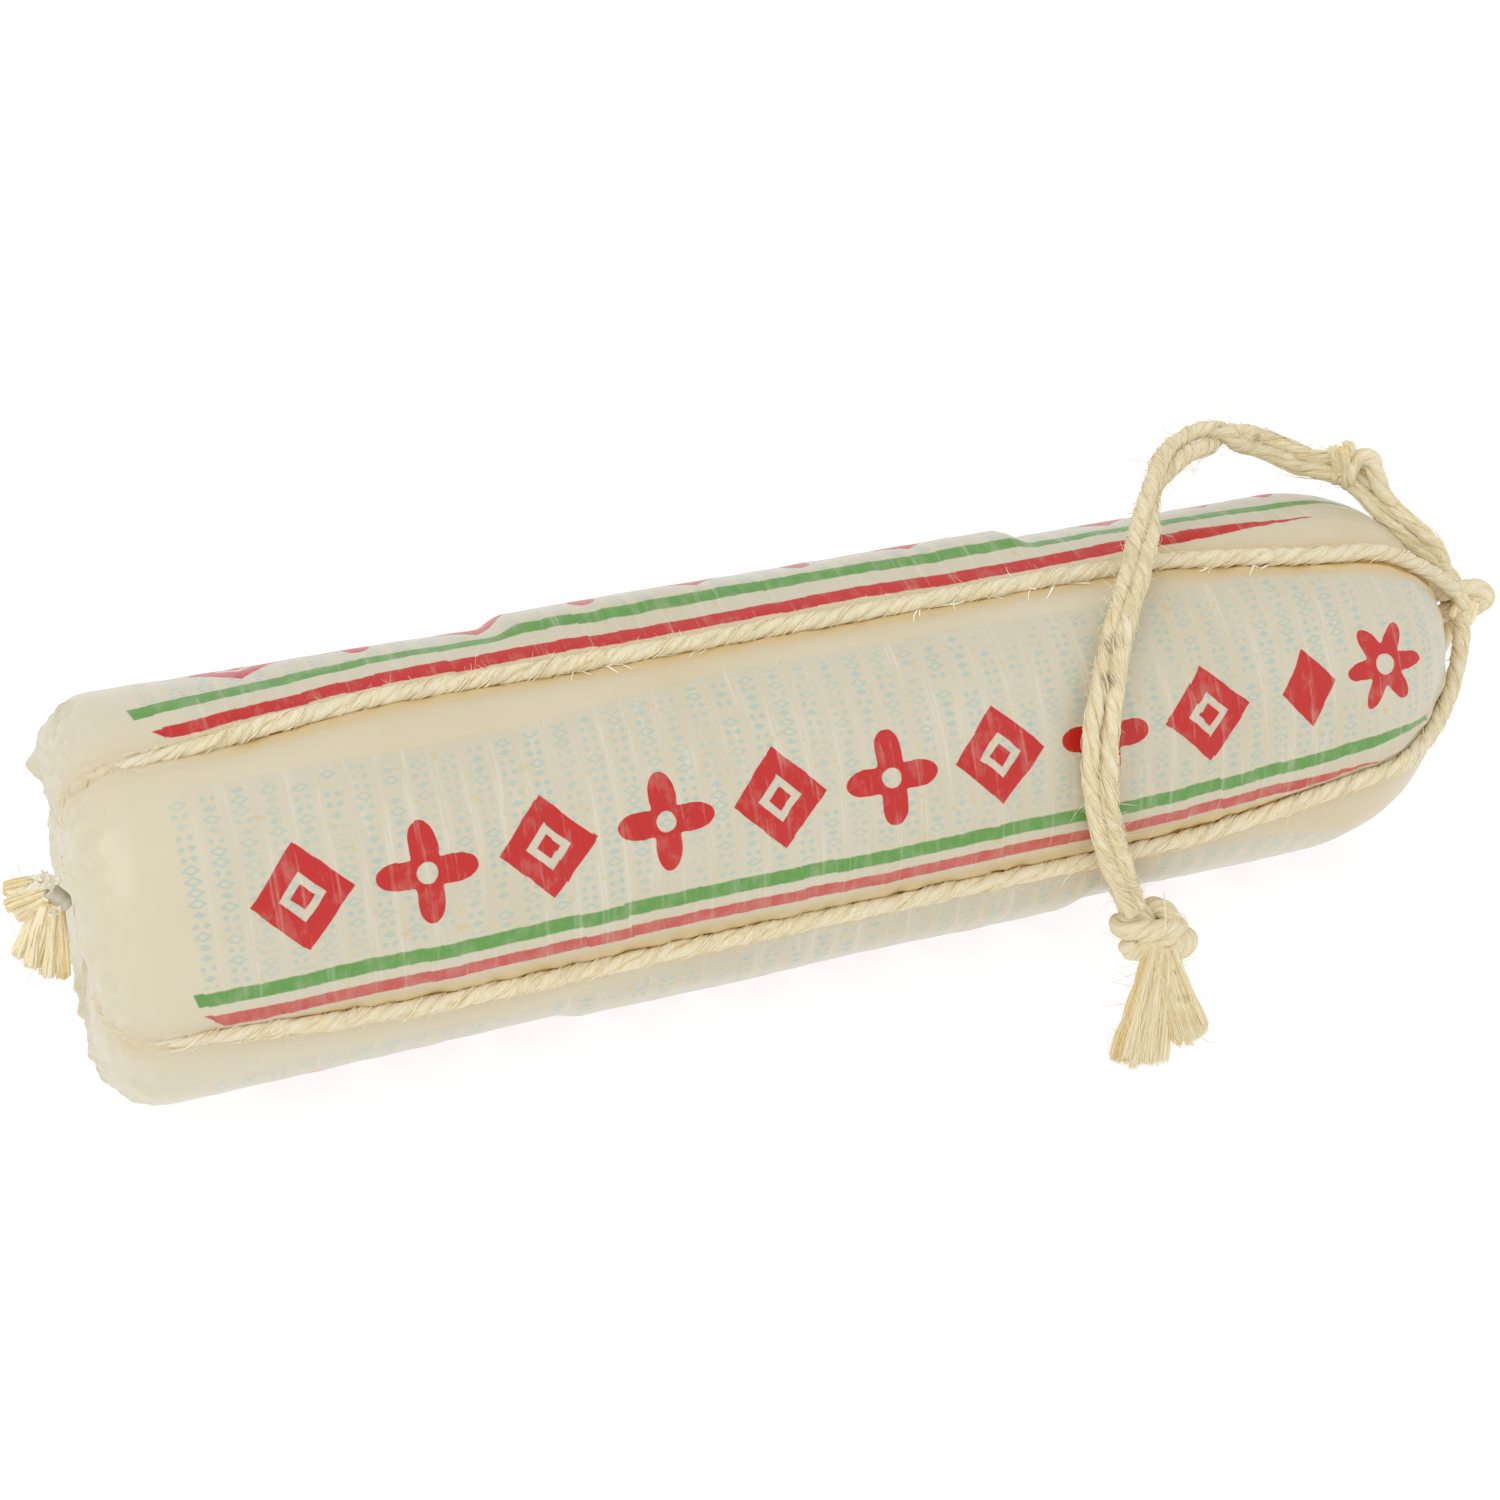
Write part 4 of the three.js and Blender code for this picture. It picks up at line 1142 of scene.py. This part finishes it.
CREAM = colour(211, 202, 176)
WARM_CREAM = colour(208, 193, 159)
FILM_WHITE = colour(196, 191, 174)
FILM_STREAK = colour(224, 220, 207)
# the painted golden shade in the grooves beside the ropes
GROOVE_SHADE_GOLD = colour(206, 168, 90)
PRINT_RED = colour(190, 16, 4)
PRINT_DEEP_RED = colour(150, 10, 10)
PRINT_GREEN = colour(92, 148, 64)
PRINT_BLUE = colour(148, 188, 182)
FLECK_YELLOW = colour(206, 182, 118)


class FilmPrint:
    """The print of the film, laid out by x and by the angle round the axis, where one degree is
    one millimetre.

    Level is the height above a panel's red stripe, and along is x; both wander as the film
    creases and folds.  The masks that the methods give are 1 where there is ink or film."""

    def __init__(self, paint):
        self.paint = paint
        self.x, y, z = paint.split(paint.place())
        x = self.x
        angle = paint.math("ARCTAN2", z - AXIS_HEIGHT, y * -1) * (180 / math.pi)
        turn = (angle - COUNT_FROM) % 360
        self.past = [turn > start for start in PANEL_STARTS]
        self.panel = self.past[0] + self.past[1] + self.past[2]
        self.top = self.past[0] - self.past[1]
        level = turn - RED_STRIPE_AT
        for beyond, step in zip(self.past, NEXT_STRIPE):
            level = level - beyond * step
        to_blunt = paint.ease(x, TURN_BLUNT_FROM, TURN_BLUNT_FROM - TURN_LENGTH)
        to_domed = paint.ease(x, TURN_DOMED_FROM, TURN_DOMED_FROM + TURN_LENGTH)
        level = level + self.top * (to_blunt * 10.2 + to_domed * 1.4)
        level = level - (1 - self.past[0]) * to_domed * 4
        level = level - self.top * (0.8 - to_domed * 0.8) * paint.ease(x, -130, -60)

        shift = paint.noise(paint.vector(x * 0.022, self.panel * 7.3, 0.5), 1.0) - 0.5
        self.crinkle = paint.noise(paint.vector(x * 0.30, level * 0.03, self.panel), 1.0) - 0.5
        folds = x / FOLD_GAP + level * 0.02 + shift * 2
        slip = paint.random(paint.math("FLOOR", folds), self.panel) - 0.5
        self.fold_edge = paint.ease(abs(folds % 1 - 0.5), 0.478, 0.496) * (abs(slip) > 0.22)
        self.level = level + shift * 2.4 + self.crinkle * 0.9 + slip * 0.7
        sway = paint.vector(x * 0.05, self.level * 0.09, self.panel * 3.1)
        self.along = x + (paint.noise(sway, 1.0) - 0.5) * 2.2
        self.column_x = (x / MARK_COLUMN % 1 - 0.5) * MARK_COLUMN
        narrower = paint.ease(x, 125, 190) * 12
        self.band_top = paint.ease(x, -110, -20) * 6.2 - narrower - self.top * 4.5 + BAND_HEIGHT

    def sheet(self):
        """The film itself with its ragged ends, and the part of it that takes small marks."""
        paint, x, level = self.paint, self.x, self.level
        ragged = paint.noise(paint.vector(level * 0.11, self.panel * 5.0, x * 0.01), 1.0, 3.0) * 9
        left, right = x + ragged, x - ragged
        film = paint.ease(level, -4.4, -2.6) * paint.ease(self.band_top - level, -1.6, 0.6)
        film = film * paint.ease(left, FILM_LEFT - 1, FILM_LEFT + 26)
        film = film * paint.ease(right, FILM_RIGHT, FILM_RIGHT - 5)
        inside = paint.ease(level, -3.6, -2.9) * paint.ease(self.band_top - level, -0.3, 0.3)
        inside = inside * paint.ease(left, FILM_LEFT + 3.4, FILM_LEFT + 4.2)
        return film, inside * paint.ease(right, FILM_RIGHT, FILM_RIGHT - 1)

    def stripes(self):
        """The red stripe along a panel's lower edge and the green one above it, each cut off
        aslant at its left end."""
        paint, x, level, top = self.paint, self.x, self.level, self.top
        half = 2.3 + top * (0.4 - paint.ease(x, -110, -170) * 0.5)
        red = paint.within(level + top, 0.0, half * (1 - paint.ease(x, 126, 170) * 0.88), 0.5)
        red = red * paint.ease(x + level * 1.1, RED_LEFT, RED_LEFT + 0.6)
        red = red * paint.ease(x, RED_RIGHT, RED_RIGHT - 2)
        level = level - GREEN_ABOVE_RED - top * 1.6
        half = 2.2 + top * (paint.ease(x, -100, -180) * 0.6 - 0.1) - paint.ease(x, 158, 190) * 1.1
        green = paint.within(level, 0.0, half, 0.5)
        green = green * paint.ease(x + level * 0.25 + top * 1.5, GREEN_LEFT, GREEN_LEFT + 0.6)
        return red, green * paint.ease(x, GREEN_RIGHT, GREEN_RIGHT - 2)

    def flower(self, u, v, mean, swing, count, eye):
        """A flower with a round eye: inside where the distance is under
        mean + swing cos(count angle), and outside the eye."""
        paint = self.paint
        r = paint.math("SQRT", u * u + v * v)
        edge = paint.math("COSINE", paint.math("ARCTAN2", v, u) * count) * swing + mean
        return paint.ease(edge - r, -0.2, 0.2) * paint.ease(r, eye, eye + 0.4)

    def motifs(self):
        """The frieze of lozenges and flowers by turns, then one diamond and one rosette."""
        paint, v = self.paint, self.level - FRIEZE_MIDDLE
        cell = (self.along - FRIEZE_LEFT) / FRIEZE_PITCH
        u = (cell % 1 - 0.5) * FRIEZE_PITCH
        lozenge = abs(u) / 14.0 + abs(v) / FRIEZE_HALF
        border = paint.ease(lozenge, 1.015, 0.985) * paint.ease(lozenge, 0.44, 0.47)
        lozenges = paint.most(border, paint.ease(lozenge, 0.25, 0.22))
        odd = paint.math("FLOOR", cell) % 2
        flower = self.flower(u, v, 9.8, 4.2, 4, 2.7)
        frieze = paint.most(lozenges * (1 - odd), flower * odd)
        frieze = frieze * paint.ease(cell, 0.0, 0.001)
        frieze = frieze * paint.ease(cell, FRIEZE_COUNT, FRIEZE_COUNT - 0.001)
        diamond = paint.ease(abs(self.along - DIAMOND_AT) / 9 + abs(v) / 12, 1.02, 0.98)
        rosette = self.flower(self.along - ROSETTE_AT, v, 10.2, 3.6, 6, 3.0)
        return paint.either(frieze, rosette, diamond)

    def marks(self):
        """Columns of small marks, each a lozenge, a hollow one, a pair of lozenges or two dots;
        a few places stay empty."""
        paint, level = self.paint, self.level
        column = paint.math("FLOOR", self.x / MARK_COLUMN)
        rows = level / MARK_ROW + paint.random(column, self.panel)
        across, up = abs(self.column_x), (rows % 1 - 0.5) * MARK_ROW
        solid = paint.ease(across / 1.9 + abs(up) / 1.0, 1.14, 0.86)
        hollow = paint.within(across / 2.7 + abs(up) / 1.5, 0.76, 0.22, 0.2)
        pair = paint.ease(abs(across - PAIR_OFF) / 1.1 + abs(up) / 0.9, 1.18, 0.82)
        dots = paint.ease((across - PAIR_OFF) * (across - PAIR_OFF) + up * up, 0.62, 0.3)
        pick = paint.random(column + self.panel * 40, paint.math("FLOOR", rows))
        marks = paint.either(
            solid * (pick < 0.3), hollow * (pick > 0.3) * (pick < 0.6),
            pair * (pick > 0.6) * (pick < 0.85), dots * (pick > 0.85) * (pick < 0.96),
        )
        marks = marks * paint.ease(level, MARKS_FROM, MARKS_FROM + 1)
        marks = marks * paint.ease(self.band_top - level, 1.0, 2.4)
        fade = paint.noise(paint.vector(self.x * 0.045, level * 0.05, self.panel * 2.0), 1.0, 3.0)
        return marks * paint.ease(fade, 0.24, 0.60)

    def clouding(self):
        """White streaks round the cheese, and yellowish flecks between the columns of marks."""
        paint, off = self.paint, abs(self.column_x)
        streak = paint.vector(self.x * 0.42, self.level * 0.035, self.panel * 4.0)
        streak = paint.noise(streak, 1.0, 3.0, 0.6)
        hoop = paint.within(off, 3.3, 0.35, 0.6) * paint.ease(streak, 0.42, 0.62)
        streaks = paint.math("ADD", paint.ease(streak, 0.50, 0.76) * 0.55, hoop * 0.5, clamp=True)
        flecks = paint.ease(paint.noise(paint.place(), 0.34), 0.62, 0.70)
        return streaks, flecks * paint.within(off, 3.0, 1.2, 0.8)

    def wear(self):
        """How strong the ink is from place to place."""
        worn = self.paint.vector(self.x * 0.16, self.level * 0.10, self.panel)
        return self.paint.ease(self.paint.noise(worn, 1.0, 4.0, 0.65), 0.30, 0.62) * 0.22 + 0.74


def waxed_skin():
    """Cream cheese in a film printed with stripes, a frieze of lozenges and flowers and columns
    of small marks, all under a coat of clear wax."""
    paint = Paint(
        "wax_skin", Subsurface_Weight=0.30, Subsurface_Radius=(1.0, 0.75, 0.45),
        Subsurface_Scale=0.006, Coat_Weight=0.25, Coat_Roughness=0.22,
    )
    place, wrap = paint.place(), FilmPrint(paint)
    film, inside = wrap.sheet()
    streaks, flecks = (mask * film for mask in wrap.clouding())

    mottle = paint.noise(place, 0.016, 3.0)
    warmth = paint.ease(mottle, 0.35, 0.72) * paint.ease(wrap.x, -215, -60)
    cheese = paint.blend(CREAM, WARM_CREAM, warmth)
    # Painted golden shade: the skin is tinted gold in the groove beside each rope, less on the film
    # and little where the wax covers the ropes at the blunt end.
    near = paint.attribute("near_rope")
    golden = near * near * (1 - film * 0.7) * (1 - paint.ease(wrap.x, -160, -196) * 0.8)
    cheese = paint.blend(cheese, GROOVE_SHADE_GOLD, golden)
    clouded = paint.blend(cheese, FILM_WHITE, film * (0.30 + 0.3 * mottle))
    clouded = paint.blend(clouded, FILM_STREAK, streaks * 0.5)
    clouded = paint.blend(clouded, FLECK_YELLOW, flecks * 0.45)

    ink = wrap.wear()
    red, green = wrap.stripes()
    reds = paint.most(red * (wrap.past[0] * 0.2 + 0.8), wrap.motifs())
    printed = paint.blend(clouded, PRINT_BLUE, wrap.marks() * inside * 0.58)
    printed = paint.blend(printed, PRINT_GREEN, green * (ink + 0.08) * (1 - streaks * 0.4))
    printed = paint.blend(printed, PRINT_RED, reds * (ink + 0.14) * (1 - streaks * 0.3))
    printed = paint.blend(printed, PRINT_DEEP_RED, reds * wrap.fold_edge * 0.6)

    fine = paint.noise(place, 0.9, 3.0, 0.55)
    height = film * 0.35 + streaks * 0.25 + wrap.crinkle * film * 0.5 + fine * 0.10 + 0.3
    gloss = 0.34 + fine * 0.10 + streaks * 0.10
    return paint.finish(printed, gloss, height, 0.32)


FIBRE_PALE = colour(236, 226, 196)
FIBRE_MID = colour(220, 204, 160)
# golden patches of the fibres, and the painted shade between strands
FIBRE_GOLD_AND_SHADE = colour(222, 194, 126)
FIBRE_BROWN = colour(110, 76, 40)
FIBRE_GREEN = colour(168, 162, 84)
FIBRE_WAXED = colour(222, 213, 186)


def sisal(name, waxed=0.0, stains=(), depth=0.22, glow=0.0):
    """Pale fibres along each strand, with golden patches at random and painted golden shade where a
    strand turns inwards between the others; waxed rope is smoother and creamier, and stains are
    (place, reach, colour) of specks.  Loose fibres let light through, for which a faint glow of
    their own colour stands."""
    paint = Paint(name, Emission_Strength=glow)
    fibre = paint.attribute("fibre", "Vector")
    lines = paint.noise(paint.stretched(fibre, (2.6, 2.6, 0.16)), 1.0, 4.0, 0.62)
    patches = paint.noise(fibre, 0.10, 2.0)
    # Painted shade: flanks of a strand that face in between the strands are tinted gold, together
    # with golden patches at random.
    inward_shade = paint.ease(paint.attribute("outward"), 0.45, -0.5)
    tone = paint.blend(FIBRE_PALE, FIBRE_MID, paint.ease(lines, 0.42, 0.66))
    golden = paint.math("ADD", inward_shade * 0.75, paint.ease(patches, 0.56, 0.74) * 0.35, clamp=True)
    tone = paint.blend(tone, FIBRE_GOLD_AND_SHADE, golden)
    place = paint.place()
    for spot, reach, stain in stains:
        off = paint.add("ShaderNodeVectorMath", {"operation": "DISTANCE"}, {0: place, 1: spot}, 1)
        speck = paint.ease(off, reach, reach * 0.3) * paint.ease(lines, 0.40, 0.55)
        tone = paint.blend(tone, stain, speck * 0.85)
    wax = paint.ease(paint.noise(place, 0.09, 3.0), 0.36, 0.64) * 0.6
    wax = paint.most(wax, paint.ease(paint.split(place)[0], -168, -200)) * waxed
    tone = paint.blend(tone, FIBRE_WAXED, wax * 0.75)
    if glow:
        paint.put(paint.shader.inputs["Emission Color"], tone)
    return paint.finish(tone, 0.82 - wax * 0.38, lines * (1 - wax * 0.6), depth)


def clip_metal():
    """Dull aluminium with crimping scratches across it."""
    paint = Paint("clip_metal", Metallic=0.25)
    scratch = paint.noise(paint.stretched(paint.place(), (0.6, 5.0, 5.0)), 1.0, 3.0)
    tone = paint.blend(colour(190, 187, 172), colour(226, 223, 210), scratch)
    return paint.finish(tone, scratch * 0.25 + 0.36, scratch, 0.06)


def film_scrap():
    """Milky film with a waxy gloss, and a faint painted glow that stands for the light that passes
    through it.
    """
    paint = Paint("film_scrap", Emission_Color=colour(232, 228, 214), Emission_Strength=0.22)
    cloud = paint.noise(paint.place(), 0.5, 3.0)
    tone = paint.blend(colour(240, 238, 230), colour(226, 220, 202), cloud)
    return paint.finish(tone, cloud * 0.2 + 0.3, cloud, 0.1)


# ---------------------------------------------------------------- the loop first

cord = cord_line()
wax_skin = waxed_skin()
dry_sisal = sisal("dry_sisal", stains=[
    ((80.5, -43.0, 104.5), 5.0, FIBRE_BROWN), ((75.0, -50.0, 97.0), 4.0, FIBRE_BROWN),
    ((160.0, 17.0, 131.5), 3.0, FIBRE_BROWN), ((85.4, -62.0, 11.0), 1.6, FIBRE_BROWN),
])
waxed_sisal = sisal("waxed_sisal", waxed=1.0)
loose_sisal = sisal("loose_sisal", depth=0.03, glow=0.13, stains=[
    ((91.0, -77.0, 7.0), 2.6, FIBRE_BROWN), ((87.5, -88.0, 6.0), 3.4, FIBRE_GREEN),
])

knot_piece = tail_knot().piece("tail_knot_rope", dry_sisal, "sisal", "tail_knot")
hairs = Shell()
for hair in (
    [(3.0, 12.2, 9.0), (3.2, 4.0, 10.2), (2.9, -3.8, 9.4)],
    [(6.0, 5.2, 5.0), (9.0, 5.4, 6.0), (11.0, 1.4, 6.6)],
):
    hair = spline(from_view(TAIL_KNOT, hair), 0.7)[None]
    fibres(hairs, hair, np.array([0.42]), np.array([0.3]), 7)
hairs.piece("knot_hairs", loose_sisal, "sisal")
tassel_piece = tassel().piece("tassel_fibres", loose_sisal, "sisal", "tassel")
hitch_piece = loop_hitch().piece("hitch_rope", dry_sisal, "sisal", "loop_hitch")
cord_piece = loop_cord(cord).piece("loop_cord", dry_sisal, "sisal", "shoulder_rope", "hanging_rope")

# ---------------------------------------------------------------- the cheese and its binding

cheese_skin().piece("waxed_cheese", wax_skin, "wax_skin", "cheese")
for number, run in enumerate(RUNS):
    binding_rope(run, 30 + number).piece(run + "_laid", waxed_sisal, "sisal", run)
end_knot().piece("end_knot_rope", waxed_sisal, "sisal", "end_knot")
clip().piece("clip_sleeve", clip_metal(), "clip_metal", "clip")

hitch_stub = (HITCH, HITCH_STUB_TIP, VIEW_RIGHT)
tuft_start, tuft_tip = from_view(END_KNOT, [(1.4, 0.0, 4.6), (-2.2, -7.4, 5.4)])
knot_tuft = (tuft_start, tuft_tip, VIEW_UP + 0.9 * VIEW_RIGHT)
# Each cut end's piece and CAD nodes; place, widths and thicknesses; fibres, seed, clumps and
# wisps; and how much longer one of its sides is.
cut_ends = (
    ("cut_end_left_fibres", ["cut_end_left"],
     LEFT_END, (5.0, 9.4), (5.0, 6.0), 300, 140, 4, (26, 5.0), 0.0),
    ("cut_end_lower_fibres", ["cut_end_lower"],
     LOWER_END, (6.0, 15.0), (5.5, 6.0), 460, 150, 6, (34, 6.0), -0.16),
    ("hitch_stub_fibres", [], hitch_stub, (5.4, 6.0), (5.0, 5.4), 220, 111, 3, (20, 4.0), 0.0),
    ("end_knot_fibres", [], knot_tuft, (4.0, 6.5), (3.0, 3.5), 110, 102, 3, (24, 4.0), 0.0),
)
cut = dict(broad=1.3, gold=0.5, turned=0.06, overlap=1.6, wild=0.008, reach=(0.86, 1.0))
for name, nodes, *sizes, slant in cut_ends:
    end = loose_end(*sizes, slant=slant, **cut)
    end.piece(name, loose_sisal, "sisal", *nodes)
film_scraps().piece("film_scraps", film_scrap(), "wax_skin")

ropes, rope_lay = loop_ropes(cord)
loop_hair = [(rope, SINGLE_RADIUS, rope_lay, (420, 17.0), (330, 5.5), False) for rope in ropes]
fuzz(loop_hair, 160).piece("loop_fuzz", loose_sisal, "sisal")
binding_hair = [
    (binding_line(run), HAIR_RADIUS, BINDING_LAY, (520, 13.0), (110, 3.6), True)
    for run, (*_, pressed) in RUNS.items() if not pressed
]
fuzz(binding_hair, 170).piece("binding_fuzz", loose_sisal, "sisal")

# ---------------------------------------------------------------- floor, light and camera

FLOOR_HALF, FLOOR_GLOW = 12.0, 0.88
WORLD_STRENGTH = 0.86
KEY_POWER, FILL_POWER = 4.5, 1.0
CAMERA_TARGET, CAMERA_DISTANCE = np.array([-16.09, 0.0, 65.21]) * MM, 0.76205
CAMERA_LENS, SENSOR_WIDTH, CLIP_START = 61.2, 36.0, 0.02
WHITE = (1.0, 1.0, 1.0, 1.0)

floor_mesh = bpy.data.meshes.new("floor")
corners = [(x * FLOOR_HALF, y * FLOOR_HALF, 0) for x, y in ((-1, -1), (1, -1), (1, 1), (-1, 1))]
floor_mesh.from_pydata(corners, [], [(0, 1, 2, 3)])
# The ground is a light table: it glows a little, which keeps the shadows on it faint.
floor_paint = Paint("floor", Emission_Color=WHITE, Emission_Strength=FLOOR_GLOW)
floor_mesh.materials.append(floor_paint.finish(colour(112, 112, 112), 0.95))
floor = bpy.data.objects.new("floor", floor_mesh)
bpy.context.scene.collection.objects.link(floor)

world = bpy.data.worlds.new("studio")
bpy.context.scene.world = world
world.use_nodes = True
background = world.node_tree.nodes["Background"].inputs
background["Color"].default_value = WHITE
background["Strength"].default_value = WORLD_STRENGTH


def soft_light(name, place, aim, size, power):
    """A round lamp of a size in metres and a power in watts, turned to a point."""
    data = bpy.data.lights.new(name, "AREA")
    data.shape, data.size, data.energy = "DISK", size, power
    light = bpy.data.objects.new(name, data)
    light.location = place
    light.rotation_euler = (Vector(aim) - Vector(place)).to_track_quat("-Z", "Y").to_euler()
    bpy.context.scene.collection.objects.link(light)


soft_light("key", (-0.75, -0.65, 1.05), (-0.05, 0.0, 0.05), 1.1, KEY_POWER)
soft_light("fill", (0.9, -0.7, 0.8), (0.05, 0.0, 0.05), 1.2, FILL_POWER)

camera_data = bpy.data.cameras.new("camera")
camera_data.lens, camera_data.sensor_width = CAMERA_LENS, SENSOR_WIDTH
camera_data.clip_start = CLIP_START
camera = bpy.data.objects.new("camera", camera_data)
camera.location = CAMERA_TARGET + CAMERA_DISTANCE * VIEW_BACK
camera.rotation_euler = Vector(-VIEW_BACK).to_track_quat("-Z", "Y").to_euler()
bpy.context.scene.collection.objects.link(camera)
bpy.context.scene.camera = camera
bpy.context.scene.view_settings.view_transform = "Standard"
